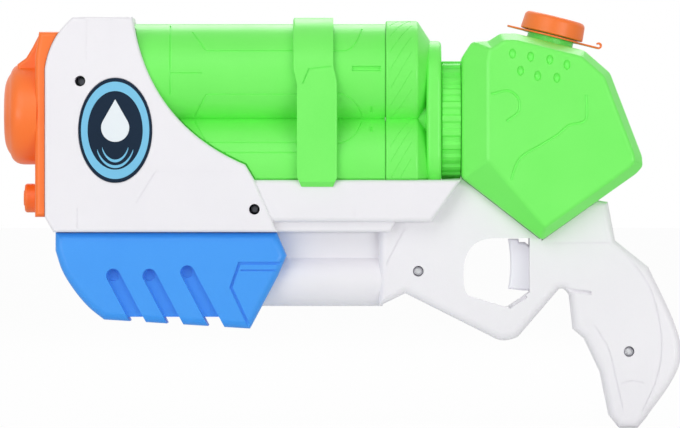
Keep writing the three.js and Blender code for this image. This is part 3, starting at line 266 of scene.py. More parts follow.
def extruded(outline, facing, low, high, rim=0, steps=5):  # rim rounds the edges of both ends
    spot = facings[facing]
    outline = tidied(outline)
    bm = prism(outline, spot, low + rim, high - rim)
    axis = Vector(spot(0, 0, 1))
    caps = [f for f in bm.faces if abs(f.normal.dot(axis)) > flatEnough and len(f.verts) == len(outline)]
    if rim:
        for i in range(steps):
            a, b = math.pi / 2 * i / steps, math.pi / 2 * (i + 1) / steps
            bmesh.ops.inset_region(
                bm, faces=caps, use_boundary=True, use_even_offset=True,
                thickness=rim * (math.cos(a) - math.cos(b)), depth=rim * (math.sin(b) - math.sin(a)),
            )
    return solid(bm)


def plate(outline, half, rim=0, steps=5):  # side view thickened to both sides of the middle
    return extruded(outline, "y", -half, half, rim, steps)


def swept(points, radius, sides=8):  # round bar along a route
    spots = [Vector(p) for p in points]
    bm = bmesh.new()
    before = None
    for i, spot in enumerate(spots):
        heading = spots[min(i + 1, len(spots) - 1)] - spots[max(i - 1, 0)]
        turn = heading.to_track_quat("Z", "X" if abs(heading.normalized().x) < alongX else "Y")
        end = i in (0, len(spots) - 1)
        made = bmesh.ops.create_circle(
            bm, cap_ends=end, segments=sides, radius=radius,
            matrix=Matrix.Translation(spot) @ turn.to_matrix().to_4x4(),
        )["verts"]
        ring = list({e for v in made for e in v.link_edges})
        if before:
            bmesh.ops.bridge_loops(bm, edges=before + ring)
        before = ring
    return solid(bm)


def stroke(line, width, low, high):  # flat groove tool along a side-view line, between two heights across
    spots = [Vector(p) for p in line]
    ways = [out * width / 2 for out in corners(spots)]
    left = [tuple(spot - out) for spot, out in zip(spots, ways)]
    right = [tuple(spot + out) for spot, out in zip(spots, ways)]
    return extruded(left + right[::-1], "y", low, high)


def parted(obj):  # splits faces at the middle, so that later cuts leave no flat face in two loose parts
    bm = bmesh.new()
    bm.from_mesh(obj.data)
    everything = bm.verts[:] + bm.edges[:] + bm.faces[:]
    bmesh.ops.bisect_plane(bm, geom=everything, dist=weldDistance, plane_co=(0, 0, 0), plane_no=(0, 1, 0))
    bm.to_mesh(obj.data)
    bm.free()
    return obj


def bothSides(maker):  # a tool for the left side and one for the right
    return [maker(-1), maker(1)]


def sideSpan(side, low, high):  # two distances from the middle, as heights across
    return sorted((side * low, side * high))


def sunk(outline, floor, half):  # tools that sink an outline into both sides
    return bothSides(lambda side: extruded(outline, "y", *sideSpan(side, floor, half + clear)))


def sideLine(line, width, depth, half):
    return bothSides(lambda side: stroke(line, width, *sideSpan(side, half - depth, half + clear)))


# Materials

def linear(code):  # hex colour as linear light
    parts = [int(code[i:i + 2], 16) / 255 for i in (0, 2, 4)]
    return (*[p / 12.92 if p < 0.04045 else ((p + 0.055) / 1.055) ** 2.4 for p in parts], 1)


class Flow:  # a value on its way through a node tree
    def __init__(self, paint, socket):
        self.paint = paint
        self.socket = socket

    def maths(self, operation, first, second):
        return self.paint.node("Math", {0: first, 1: second}, operation=operation)

    def __add__(self, other):
        return self.maths("ADD", self, other)

    def __mul__(self, other):
        return self.maths("MULTIPLY", self, other)


class Tree:
    def __init__(self, tree):
        self.tree = tree
        tree.nodes.clear()

    def node(self, kind, inputs=None, output=0, **settings):
        made = self.tree.nodes.new("ShaderNode" + kind)
        for key, value in settings.items():
            setattr(made, key, value)
        for key, value in (inputs or {}).items():
            if isinstance(value, Flow):
                self.tree.links.new(value.socket, made.inputs[key])
            else:
                made.inputs[key].default_value = value
        return Flow(self, made.outputs[output]) if len(made.outputs) else made


class Paint(Tree):
    def __init__(self, name):
        self.material = bpy.data.materials.new(name)
        self.material.use_nodes = True
        super().__init__(self.material.node_tree)
        self.spot = self.node("TexCoord", output="Object")

    def stretched(self, scale):
        return self.node("Mapping", {"Vector": self.spot, "Scale": scale}, vector_type="POINT")

    def noise(self, scale, detail, at=None):
        return self.node("TexNoise", {"Vector": at or self.spot, "Scale": scale, "Detail": detail})

    def mixed(self, share, low, high):
        return self.node("Mix", {0: share, 6: low, 7: high}, output=2, data_type="RGBA")

    def bump(self, height, strength, distance, over=None):
        inputs = {"Height": height, "Strength": strength, "Distance": distance}
        if over:
            inputs["Normal"] = over
        return self.node("Bump", inputs)

    def surface(self, inputs):
        shader = self.node("BsdfPrincipled", inputs)
        self.node("OutputMaterial", {"Surface": shader})
        return self.material


# Moulded plastics: slot, light and deep colour, roughness, grain of the mould, waves of the wall, gloss
plastics = {
    "housingWhite": ("housing_white", "f3f1f5", "e9e7ec", 0.42, 0.10, 0.05, 0.5),
    "tankGreen": ("tank_green", "7ff86a", "68ee55", 0.36, 0.06, 0.10, 0.5),
    "nozzleOrange": ("nozzle_orange", "ff8032", "f96f1a", 0.38, 0.07, 0.05, 0.5),
    "pumpBlue": ("pump_blue", "3fa0f8", "2e92f2", 0.40, 0.10, 0.05, 0.5),
    "triggerGrey": ("trigger_grey", "f6f5fb", "ecebf4", 0.42, 0.10, 0.05, 0.5),
    "badgeNavy": ("badge_navy", "1a2f47", "11202f", 0.55, 0.04, 0.02, 0.12),
    "badgeBlue": ("badge_navy", "86cdee", "6fbbe0", 0.50, 0.04, 0.02, 0.2),
    "badgeWhite": ("badge_navy", "f0f5f8", "e2ebf1", 0.50, 0.04, 0.02, 0.2),
    "innerNatural": ("inner_natural", "e8eae8", "d9dcd9", 0.45, 0.08, 0.04, 0.5),
    "sealRubber": ("seal_rubber", "303036", "232328", 0.75, 0.15, 0.05, 0.5),
}


def mouldedPlastic(name, light, deep, roughness, grainDepth, waveDepth, gloss):
    paint = Paint(name)
    clouds = paint.noise(scale=22, detail=3)
    flecks = paint.noise(scale=1500, detail=2)
    streaks = paint.noise(scale=60, detail=2, at=paint.stretched((0.25, 1, 1)))
    cloudShare = 0.7
    share = clouds * cloudShare + flecks * (1 - cloudShare)
    colour = paint.mixed(share, linear(deep), linear(light))
    smudges = paint.noise(scale=45, detail=4)
    smudgeRange, fleckRange = 0.16, 0.06
    smoothest = roughness - (smudgeRange + fleckRange) / 2
    rough = smudges * smudgeRange + flecks * fleckRange + smoothest
    waves = paint.bump(streaks, strength=waveDepth, distance=0.002)
    grain = paint.bump(flecks, strength=grainDepth, distance=0.0004, over=waves)
    return paint.surface({
        "Base Color": colour, "Roughness": rough, "Normal": grain, "Specular IOR Level": gloss,
    })


def brushedSteel(name, deep, light):
    paint = Paint(name)
    scratches = paint.noise(scale=900, detail=3, at=paint.stretched((1, 6, 1)))
    tarnish = paint.noise(scale=300, detail=3)
    colour = paint.mixed(tarnish, linear(deep), linear(light))
    smoothest, roughRange = 0.22, 0.2
    return paint.surface({
        "Base Color": colour, "Metallic": 1.0, "Roughness": scratches * roughRange + smoothest,
        "Normal": paint.bump(scratches, strength=0.08, distance=0.0002),
    })


def hoseVinyl(name, deep, light):
    paint = Paint(name)
    haze = paint.noise(scale=160, detail=3)
    colour = paint.mixed(haze, linear(deep), linear(light))
    smoothest, roughRange = 0.22, 0.15
    return paint.surface({
        "Base Color": colour, "Roughness": haze * roughRange + smoothest, "Transmission Weight": 0.25,
        "IOR": 1.45, "Normal": paint.bump(haze, strength=0.06, distance=0.0005),
    })


finishes = {name: (mouldedPlastic(name, *look), slot) for name, (slot, *look) in plastics.items()}
# A darker steel: the spring's and the pin's own colour, and painted shade on the two screws that sit in the
# block's deep wells.
finishes["darkSteelAndWellShade"] = brushedSteel("darkSteelAndWellShade", "6c6f75", "8e9298"), "screw_steel"
finishes["screwZinc"] = brushedSteel("screwZinc", "d6d8db", "ecedef"), "screw_steel"
finishes["hoseClear"] = hoseVinyl("hoseClear", "c9d3d7", "e2e9ec"), "hose_clear"
print("finishes", len(finishes))


def piece(obj, name, body, finish, *nodes):
    material, slot = finishes[finish]
    obj.name = name
    mesh = obj.data
    mesh.name = name
    mesh.transform(toFrame)
    mesh.materials.clear()
    mesh.materials.append(material)
    mesh.shade_smooth()
    mesh.set_sharp_from_angle(angle=math.radians(sharpAngle))
    even = obj.modifiers.new("evenShading", "WEIGHTED_NORMAL")
    even.keep_sharp = True
    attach(obj, body)
    if nodes:
        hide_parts(*nodes)
    return obj


def built(maker, finish, node, body="housing"):  # a piece named after the function that makes it
    piece(maker(), maker.__name__, body, finish, node)


def halves(whole, gap, name, body, finish, node):
    right = shared(copied(whole), block((-far, gap, -far), (far, far, far)))
    left = shared(whole, block((-far, -far, -far), (far, -gap, far)))
    piece(left, f"{name}Left", body, finish, f"{node}_left")
    piece(right, f"{name}Right", body, finish, f"{node}_right")


# Front tank

tank = dict(
    radius=30, upper=94.8, lower=40.8, crease=67.8, base=20, front=30, end=202.8, noseRound=8, wall=2.2,
    stub=1.5, stubBore=0.9, stubAt=185.5, stubDrop=6, line=0.5,
    lines=[
        [(74.4, 123.4), (74.4, 82.2)],
        [(75, 94.8), (93.6, 94.8)],
        [(87.6, 119.4), (96, 108), (152, 108)],
        [(88.8, 69), (96, 82.2), (152, 82.2)],
        [(88.8, 66.6), (96, 53.4), (152, 53.4)],
        [(105.6, 47.4), (152, 47.4)],
        [(171, 108), (178.8, 108), *pulled((178.8, 108), (185, 109), (189, 121.4), 6)],
        [(171, 82.8), (175.8, 82.8), *pulled((175.8, 82.8), (186, 80), (189, 69), 6)],
        [(171, 52.8), (175.8, 52.8), *pulled((175.8, 52.8), (186, 55.6), (189, 66.6), 6)],
    ],
    slot=[(183, 97.5), (200, 97.5)], slotLine=1.6,
    ticks=[[(194.4, 75), (194.4, 71.5)], [(194.4, 63), (194.4, 60)]], tickLine=0.8,
    edges=[  # undercut along the housing, seen as a dark line
        [(53.3, 121), *pulled((53.3, 121), (62.4, 64.2), (119.8, 40.5), 24), (125.1, 31.6)],
        [(126, 31.7), (201.8, 31.7)],
    ],
    rebate=1, rebateDepth=0.8,
)


def twinLobes(profile, base):  # one profile spun about the middle of each lobe, flat below
    pair = [turned(profile, (0, 0, z), 96) for z in (tank["upper"], tank["lower"])]
    return cut(join(*pair), below(base))


def onLobe(side, x, z, radius):
    centre = tank["upper"] if z > tank["crease"] else tank["lower"]
    return (x, side * math.sqrt(max(radius ** 2 - (z - centre) ** 2, 0)), z)


def lobeLines(lines, width, radius=tank["radius"]):  # groove tools that follow the round sides
    tools = []
    for line in lines:
        tools += bothSides(lambda side: swept([onLobe(side, x, z, radius) for x, z in dense(line)], width))
    return tools


def frontTank():
    t = tank
    front, end, radius, bend, wall = t["front"], t["end"], t["radius"], t["noseRound"], t["wall"]
    nose = arc((front + bend, radius - bend), (bend, bend), 180, 90, 8)
    inner = [(front + wall, radius - bend), (front + bend, radius - wall), (end + past, radius - wall)]
    shell = cut(twinLobes([*nose, (end, radius)], t["base"]), twinLobes(inner, t["base"] + wall))
    stub = rodZ(t["stubAt"], t["base"] - t["stubDrop"], t["base"] + wall, t["stub"], 24)
    return cut(
        join(shell, stub), rodZ(t["stubAt"], 0, t["base"] + 2 * wall, t["stubBore"], 24),
        *lobeLines(t["lines"], t["line"]), *lobeLines([t["slot"]], t["slotLine"]),
        *lobeLines(t["ticks"], t["tickLine"]),
        *lobeLines(t["edges"], t["rebate"], radius - t["rebateDepth"]),
    )


built(frontTank, "tankGreen", "front_tank")

# End cap of the front tank, with hatched sides

endCap = dict(
    start=203.1, end=222, radius=31.8, rim=1.2, taperEnd=229.8, taperRadius=20, foot=32.2,
    coreStart=203.4, coreTaper=18.2, flangeStart=227.4, flangeEnd=236.4, flangeHalf=(26, 46.8), flangeRim=2.4,
    lip=196.8, lipRadius=27.5, lipBore=26, lipLift=2.5, hubStart=214.2, hub=15.4, link=12.3,
    throat=13.4, roomLift=4, passage=9.6,
    hatch=0.22, hatchPitch=20, hatchTwist=40, hatchSteps=8, hatchSpan=(205.6, 218.5),
    hatchTurns=((tank["upper"], -38, 84), (tank["lower"], -14, 38)),
)


def stadium(halfWidth, halfHeight, steps=32):
    flat = halfHeight - halfWidth
    return [
        *arc((0, tank["crease"] + flat), (halfWidth,) * 2, 0, 180, steps),
        *arc((0, tank["crease"] - flat), (halfWidth,) * 2, 180, 360, steps),
    ]


def hatchLine(side, centre, turn):
    c = endCap
    first, last = c["hatchSpan"]
    run = []
    for step in range(c["hatchSteps"] + 1):
        share = step / c["hatchSteps"]
        angle = math.radians(turn + c["hatchTwist"] * (share - 0.5))
        out, up = c["radius"] * math.cos(angle), c["radius"] * math.sin(angle)
        run.append((first + (last - first) * share, side * out, centre + up))
    return swept(run, c["hatch"], 6)


def tankEndCap():
    c = endCap
    start, end, taperEnd, radius, rim = c["start"], c["end"], c["taperEnd"], c["radius"], c["rim"]
    base, crease = tank["base"], tank["crease"]
    proud = twinLobes(
        [
            (start, radius - rim), *arc((start + rim, radius - rim), (rim, rim), 170, 90, 4),
            *arc((end - rim, radius - 2 * rim), (2 * rim,) * 2, 90, 40, 4), (taperEnd, c["taperRadius"]),
        ],
        base,
    )
    coreRadius = tank["radius"]
    core = twinLobes([(c["coreStart"], coreRadius), (end, coreRadius), (taperEnd, c["coreTaper"])], base)
    lip, lipRadius = c["lip"], c["lipRadius"]
    sleeve = twinLobes([(lip, lipRadius), (start + past, lipRadius)], base + c["lipLift"])
    flange = extruded(stadium(*c["flangeHalf"]), "x", c["flangeStart"], c["flangeEnd"], c["flangeRim"])
    hub = rodX(c["hubStart"], taperEnd, crease, c["hub"], 64)
    mouth = lip - past
    room = twinLobes(
        [(mouth, c["lipBore"]), (end, c["lipBore"]), (c["flangeStart"], c["throat"])], base + c["roomLift"],
    )
    passage = block((mouth, -c["passage"], tank["lower"]), (end, c["passage"], tank["upper"]))
    bore = rodX(end - past, c["flangeEnd"] + past, crease, c["link"], 64)
    hatch = []
    for centre, first, last in c["hatchTurns"]:
        count = round((last - first) / c["hatchPitch"])
        for i in range(count + 1):
            turn = first + (last - first) * i / count
            hatch += bothSides(lambda side: hatchLine(side, centre, turn))
    body = join(cut(proud, below(c["foot"])), core, sleeve, flange, hub)
    return cut(body, join(room, passage), bore, *hatch)


built(tankEndCap, "tankGreen", "tank_end_cap")

# Ribbed collar between the tanks

collar = dict(
    start=236.7, end=248.1, half=(24, 34.8), drop=1.5, ribs=26, ribSpots=12, ribShape=(1.4, 0.5), depth=1.2,
    rim=0.5, bore=12.3,
)


def tankCollar():
    k = collar
    flat = k["half"][1] - k["half"][0]
    steep, lift = k["ribShape"]
    count = k["ribs"] * k["ribSpots"]
    outline = []
    for i in range(count):
        angle = 2 * math.pi * i / count
        rib = max(0, min(1, steep * math.cos(k["ribs"] * angle) + lift))
        radius = k["half"][0] - k["depth"] * (1 - rib)
        tall = radius + flat + (k["drop"] if angle > math.pi else 0)
        outline.append((radius * math.cos(angle), tank["crease"] + tall * math.sin(angle)))
    body = extruded(outline, "x", k["start"], k["end"], k["rim"], 3)
    return cut(body, rodX(k["start"] - past, k["end"] + past, tank["crease"], k["bore"], 64))


built(tankCollar, "tankGreen", "tank_collar")

# Strap over the front tank

strap = dict(
    front=147.8, back=174.2, inner=(31.72, 30.3), outer=(35.12, 33.7), foot=27, chamfer=3, rim=1.1,
    offset=2.4, bend=(99, 88), corner=(3, 6), margin=9,
    clasp=[(153.6, 88.5), (157.2, 97.2), (170.4, 98.6)], claspLine=(0.9, 0.8),
)


def tankStrap():
    s = strap
    inY, inRise = s["inner"]
    outY, outRise = s["outer"]
    foot, chamfer = s["foot"], s["chamfer"]
    outline = [
        (outY - chamfer, foot), (outY, foot + chamfer), *arc((0, tank["upper"]), (outY, outRise), 0, 180, 64),
        (-outY, foot + chamfer), (chamfer - outY, foot), (-inY, foot),
        *arc((0, tank["upper"]), (inY, inRise), 180, 0, 64), (inY, foot),
    ]
    band = extruded(outline, "x", s["front"], s["back"], s["rim"])
    high, low = s["bend"]
    front, back = s["front"], s["back"]
    before, behind = front - s["margin"], back + s["margin"]
    inFront, inBack = front + s["offset"], back - s["offset"]
    across, up = s["corner"]
    lowerLeft = [
        (before, 0), (before, high), (front, high), (inFront, low), (inFront, foot + up),
        (inFront + across, foot - past), (inFront + across, 0),
    ]
    upperRight = [(behind, far), (behind, low), (back, low), (inBack, high), (inBack, far)]
    lowerRight = [
        (behind, 0), (behind, foot + up), (back, foot + up), (back - across, foot - past), (back - across, 0),
    ]
    shaping = [plate(corner, far) for corner in (lowerLeft, upperRight, lowerRight)]
    return cut(parted(band), *shaping, *sideLine(s["clasp"], *s["claspLine"], outY))


built(tankStrap, "tankGreen", "tank_strap")
print("front tank, end cap, collar and strap")

# Rear tank: faceted sides, filler neck on the sloping top

rear = dict(
    front=248.4, half=36, wallHalf=25, insideHalf=24, wall=2.2, soft=1.6,
    outline=[
        (0, 32.4), (0, 104), (6, 113.4), (16, 114), (23, 118.5), (32.4, 118.5), (73.2, 108.3), (88.5, 95),
        (107.6, 45.2), (108, 39.2), (104.2, 34.9), (48, -4.8),
    ],
    pad=[
        (15.4, 43), (15.4, 102), (16.4, 108.4), (19, 109.8), (25, 114), (32.6, 114), (71, 104.4),
        (84.4, 92.8), (102.4, 45.6), (102.4, 41.6), (99.4, 38.4), (49.2, 2.6),
    ],
    dimples=[
        (278.4, 106.2), (289.2, 104.4), (300.6, 102.6), (310.8, 99.6), (283.2, 96), (293.4, 93),
        (304.8, 91.8),
    ],
    dimple=(1.8, 2.6), dimpleStretch=(1, 0.8, 1.15),
    swirl=[
        (277.8, 31.2), (279.6, 37.8), (283.2, 44.4), (295.8, 52.2), (305.4, 58.2), (312, 63.6),
        (321.6, 66.6), (322.2, 81.6),
    ],
    hook=[(265.8, 82.2), (276.6, 84), (282, 79.2), (282, 72), (274.8, 66)],
    line=0.8, sumpAt=312, sump=(-11, 8, 4), sumpBore=(-12, 14, 2.4),
)
rearOutline, rearPad = [[(rear["front"] + x, z) for x, z in rear[key]] for key in ("outline", "pad")]
link = dict(start=227.4, radius=12, bore=9.6, edge=0.4, fit=0.3, holeDepth=6)
filler = dict(
    base=(301.4, 113.364), tilt=14, neck=14, neckBore=11.6, neckHeight=13, edge=0.5,
    bead=((8.2, 0), (9.1, 0.35), (10, 0)), spigot=12.8, spigotDepth=3, holeDepth=8, fit=0.3,
    capRadius=19.1, capBottom=5.2, capTop=16, capHole=14.5, capDraft=0.6, capBend=3, shoulder=3.4,
    dish=(4.2, 5.2), lid=1.6,
    tether=(3.5, 4.6), tetherRim=0.3, tetherRing=18, reach=(27, 31), half=4, roll=2.0,
)
atFiller = (
    Matrix.Translation((filler["base"][0], 0, filler["base"][1]))
    @ Matrix.Rotation(math.radians(filler["tilt"]), 4, "Y")
)
standing = Matrix.Rotation(-math.pi / 2, 4, "Y")  # turns a piece spun about x upright


def faceted(outline, pad, wallHalf, half, soft):  # upright walls, then facets up to a smaller pad
    bm = prism(outline, facings["y"], -wallHalf, wallHalf)
    for cap in [f for f in bm.faces if abs(f.normal.y) > flatEnough]:
        side = math.copysign(1, cap.normal.y)
        raised = bmesh.ops.extrude_discrete_faces(bm, faces=[cap])["faces"][0]
        for v in raised.verts:
            nearest = min(range(len(outline)), key=lambda i: math.dist(outline[i], (v.co.x, v.co.z)))
            x, z = pad[nearest]
            v.co = (x, side * half, z)
    bmesh.ops.remove_doubles(bm, verts=bm.verts, dist=weldDistance)
    if soft:
        bmesh.ops.bevel(
            bm, geom=bm.edges[:], offset=soft, segments=4, profile=0.5, affect="EDGES", material=-1,
            clamp_overlap=True,
        )
    return solid(bm)


def rearTank():
    r = rear
    wall, half, front = r["wall"], r["half"], r["front"]
    outer = faceted(rearOutline, rearPad, r["wallHalf"], half, r["soft"])
    inner = faceted(grown(rearOutline, -wall), grown(rearPad, -wall / 2), r["insideHalf"], half - wall, 0)
    holes = [
        rodX(front - past, front + link["holeDepth"], tank["crease"], link["radius"] + link["fit"], 64),
        placed(rodZ(0, -filler["holeDepth"], past, filler["spigot"] + filler["fit"], 72), atFiller),
        rodZ(r["sumpAt"], *r["sumpBore"], 32),
    ]
    deep, wide = r["dimple"]
    pips = []
    for x, z in r["dimples"]:
        for side in (-1, 1):
            pip = turned(arc((0, 0), (deep, wide), 180, 0, 10), sides=32)
            spot = Matrix.Translation((x, side * half, z)) @ Matrix.Rotation(math.pi / 2, 4, "Z")
            pips.append(placed(pip, spot @ Matrix.Diagonal((*r["dimpleStretch"], 1))))
    grooves = []
    for line in (r["swirl"], r["hook"]):
        route = through(line)
        grooves += bothSides(lambda side: swept([(x, side * half, z) for x, z in route], r["line"]))
    return cut(join(outer, rodZ(r["sumpAt"], *r["sump"], 32)), inner, *holes, *pips, *grooves)


def fillerNeck():
    f = filler
    neck, bore, top, edge, foot = f["neck"], f["neckBore"], f["neckHeight"], f["edge"], -f["spigotDepth"]
    profile = [
        (foot, bore), (foot, f["spigot"]), (f["fit"], f["spigot"]), (f["fit"], neck),
        *[(along, neck + out) for along, out in f["bead"]],
        (top - edge, neck), (top, neck - edge), (top, bore),
    ]
    return placed(turned(profile, ring=True), atFiller @ standing)


def linkPipe():
    start, radius, bore, edge = link["start"], link["radius"], link["bore"], link["edge"]
    end = rear["front"] + rear["wall"]
    profile = [(start, bore), (start, radius - edge), (start + edge, radius), (end, radius), (end, bore)]
    return turned(profile, (0, 0, tank["crease"]), ring=True)


built(rearTank, "tankGreen", "rear_tank")
built(fillerNeck, "tankGreen", "filler_neck")
built(linkPipe, "tankGreen", "link_pipe")


def fillCap():
    f = filler
    bottom, top, radius, edge, bend = f["capBottom"], f["capTop"], f["capRadius"], f["edge"], f["capBend"]
    drawn = radius - f["capDraft"]
    dishEdge, dishFloor = f["dish"]
    profile = [
        (bottom, radius - edge), (bottom + edge, radius), (top - f["shoulder"], drawn),
        *arc((top - bend, drawn - bend), (bend, bend), 86, 4, 8), (top, radius - dishEdge),
        (top - edge, radius - dishFloor),
    ]
    body = placed(turned(profile, sides=96), standing)
    return placed(cut(body, rodZ(0, 0, top - f["lid"], f["capHole"], 64)), atFiller)


built(fillCap, "nozzleOrange", "fill_cap", "cap")


def capTether():
    f = filler
    low, high = f["tether"]
    thick = high - low
    ear, roll = f["half"], f["roll"]
    front, back = f["reach"]
    bend = back - roll
    strip = [*arc((ear - front, 0), (ear, ear), 270, 90, 16), (bend, ear), (bend, -ear)]
    ring = ellipse((0, 0), (f["tetherRing"],) * 2, 64)
    flat = [extruded(outline, "z", low, high, f["tetherRim"], 2) for outline in (strip, ring)]
    centre = (bend, high + roll - thick)
    curl = arc(centre, (roll, roll), -90, 150, 24) + arc(centre, (roll - thick,) * 2, 150, -90, 24)
    hole = rodZ(0, 0, high + past, f["neck"] + f["fit"], 64)
    return placed(cut(join(*flat, extruded(curl, "y", -ear, ear)), hole), atFiller)


built(capTether, "nozzleOrange", "cap_tether")
print("rear tank, cap and tether")

# Housing

walls = dict(thick=2.4, tankFit=0.6, seat=0.3, parting=0.1, leastRim=0.6)
blockShape = dict(
    half=33.4, rim=2,
    outline=[
        (5, 0), (0, 9), (0, 97.2), *pulled((0, 97.2), (2.5, 116.2), (16.8, 128.2)), (52.2, 128.2),
        *pulled((52.2, 128.2), (61.8, 64.2), (119.4, 40.2), 24), (124.8, 31.2), (138.6, 0),
    ],
    noseHoles=((70.8, 14.3, 64), (20.4, 7.8, 48)), noseDepth=3.4,
    band=[(24.6, 101.4), (24.6, 131), (39.6, 131), (39.6, 101.4)], bandDepth=0.45,
    lines=[  # route, width and depth
        ([(19.5, -1), (19.5, 14)], 0.8, 0.5),  # front foot
        ([(54.6, 17.4), (66, 36), (112.8, 36)], 0.7, 0.4),  # panel edge
        ([(128.4, 27), (137.2, 6.5)], 0.8, 0.5),
    ],
)
troughShape = dict(
    half=31.42, rim=3, outline=[(112, 6), (112, 31.2), (247.9, 31.2), (230.4, 6)],
    lines=[([(184.8, 10.2), (184.8, 13.8)], 0.8, 0.5)],
)
railShape = dict(half=26, rim=2, outline=[(112, 0), (112, 26.4), (218, 26.4), (206, 0)])
webShape = dict(
    half=8, rim=1, outline=[(91.2, -28.8), (91.2, 2.4), (201.4, 2.4), (201.4, -28.8)], roomTop=5.8,
)
guideTube = dict(start=91.2, end=201.4, radius=15.6, bore=13.2, axis=-28.8)
gripFrame = dict(
    half=17, rim=5,
    outline=[
        (199, 30), (199, -44.4), (214.8, -36.6), (268.4, -63.5),
        *pulled((268.4, -63.5), (274.4, -66.5), (282.4, -62.5)), (306.6, -34.2),
        *pulled((306.6, -34.2), (310.4, -32.4), (313.4, -38)), (315.6, -58.2), (322.4, -64), (331.9, -84),
        (337.2, -110), (342.9, -117), (353.9, -117),
        *through([(359.4, -110.5), (380, -72), (360.4, -21)], 16, 0), (340.4, -5), (336, 18), (248.4, 32.2),
    ],
    opening=[
        (289.2, -3.6), (289.2, -36), (275.4, -45), (254.4, -38.5),
        *pulled((254.4, -38.5), (249.6, -38.5), (249.6, -25.6)),
        *pulled((249.6, -25.6), (249.6, -3.6), (268.4, -3.6)),
    ],
    slot=((288.2, -6.5, -36), (291.8, 6.5, -5.6)), sumpHole=(-21, 39, 5),
    panels=[
        [(347.5, -14.5), (361, -33), (368, -64.8), (365.5, -86), (356.5, -107)],
        [(328, -56), (336.5, -70), (340.8, -88), (345, -106)],
        [(343.5, -90.6), (349, -89), (357, -90)],
    ],
    panelLine=(0.8, 0.55),
    lines=[
        ([(303.6, -6.6), (341, -6.6)], 0.9, 0.6),  # ledge under the tank
        ([(309, -34.2), (326, -36.4)], 2.2, 2.0),  # notch at the throat
        ([(276.4, -44.35), (286.8, -37.57)], 3.6, 9),  # step below the trigger
        ([(214.4, 2), (203.5, -19)], 0.8, 0.5),  # front facet of the guard
    ],
)
screwHoles = dict(
    spots=[(21, 90, 33.4), (124.8, 13.6, 33.4), (222.6, -23.4, 17), (348.6, -71.4, 17)],
    well=3.2, seat=8, shank=1.8, post=4.6, pilot=1.6, pilotEnd=9,
)
rests = dict(
    tankAt=(60, 145, 199.5), tankSide=11, tankHalf=(1.2, 4), tankSpan=(1.4, 19.7),
    valve=((315.9, 8.3, -26), (319.9, 15.1, -16)),
)
badge = dict(at=(42, 60.6), half=(21.9, 31.2), low=32.65, high=34.05, seat=32.6, fit=0.3)


def shaped(shape, grow=0.0, steps=5):
    outline = grown(shape["outline"], grow) if grow else shape["outline"]
    rim = max(shape["rim"] + min(grow, 0), walls["leastRim"])
    return plate(outline, shape["half"] + grow, rim, steps)


def tankRoom():
    gap = walls["tankFit"]
    w, h = endCap["flangeHalf"]
    cw, ch = collar["half"]
    radius = tank["radius"] + gap
    lobes = [
        (tank["front"] - gap, radius), (endCap["end"] + gap, radius),
        (endCap["taperEnd"] + gap, endCap["taperRadius"] - gap),
    ]
    return join(
        twinLobes(lobes, tank["base"] - gap),
        extruded(stadium(w + gap, h + gap), "x", endCap["taperEnd"] - gap, endCap["flangeEnd"] + gap),
        extruded(stadium(cw + gap, ch + collar["drop"] + gap), "x", endCap["flangeEnd"], rear["front"]),
    )


def restBlocks():
    r = rests
    halfX, halfY = r["tankHalf"]
    low, high = r["tankSpan"]
    made = []
    for x in r["tankAt"]:
        for y in (-r["tankSide"], r["tankSide"]):
            made.append(block((x - halfX, y - halfY, low), (x + halfX, y + halfY, high)))
    (x0, y0, z0), (x1, y1, z1) = r["valve"]
    for side in (-1, 1):
        left, right = sideSpan(side, y0, y1)
        made.append(block((x0, left, z0), (x1, right, z1)))
    return made


def housing():
    thick = walls["thick"]
    tube = guideTube
    start, end, axis = tube["start"], tube["end"], tube["axis"]
    outer = join(
        *[shaped(shape) for shape in (blockShape, troughShape, railShape, webShape)],
        rodX(start, end, axis, tube["radius"], 72), shaped(gripFrame),
    )
    frameInside = cut(
        shaped(gripFrame, -thick), plate(grown(gripFrame["opening"], thick), far),
        plate(grown(rearOutline, walls["seat"] + thick), far),
    )
    webRoom = webShape["half"] - thick
    inside = join(
        *[shaped(shape, -thick, 3) for shape in (blockShape, troughShape, railShape)],
        block((start + thick, -webRoom, axis), (end + thick, webRoom, webShape["roomTop"])),
        rodX(start - past, end + thick, axis, tube["bore"], 72), frameInside,
    )
    s = screwHoles
    posts = [rodY(x, z, past - half, half - past, s["post"], 32) for x, z, half in s["spots"]]
    shell = join(cut(outer, inside), *posts, *restBlocks())
    holes = []
    for x, z, half in s["spots"]:
        holes.append(rodY(x, z, -half - past, -s["seat"], s["well"], 40))
        holes.append(rodY(x, z, -s["seat"] - past, 0, s["shank"], 24))
        holes.append(rodY(x, z, -past, s["pilotEnd"], s["pilot"], 24))
    b = blockShape
    badgeRoom = ellipse(badge["at"], [h + badge["fit"] for h in badge["half"]])
    details = sunk(b["band"], b["half"] - b["bandDepth"], b["half"])
    for line in gripFrame["panels"]:
        details += sideLine(through(line), *gripFrame["panelLine"], gripFrame["half"])
    for shape in (blockShape, troughShape, gripFrame):
        for line in shape["lines"]:
            details += sideLine(*line, shape["half"])
    return cut(
        shell, plate(gripFrame["opening"], far), plate(grown(rearOutline, walls["seat"]), far), tankRoom(),
        block(*gripFrame["slot"]), rodZ(rear["sumpAt"], *gripFrame["sumpHole"], 32),
        *[rodX(-past, b["noseDepth"], *hole) for hole in b["noseHoles"]], *holes,
        *sunk(badgeRoom, badge["seat"], badge["seat"]), *details,
    )


halves(housing(), walls["parting"], "housing", "housing", "housingWhite", "body")
print("housing halves")

# Screws sunk in the left half

screwShape = dict(
    head=3.05, height=2, edge=0.2, dome=((0.9, 0), (0.2, 0.6), (0, 1.5)), shank=1.5, overlap=0.5, length=15,
    inner=-8.3, cross=(1.7, 0.4, 1.0),
)


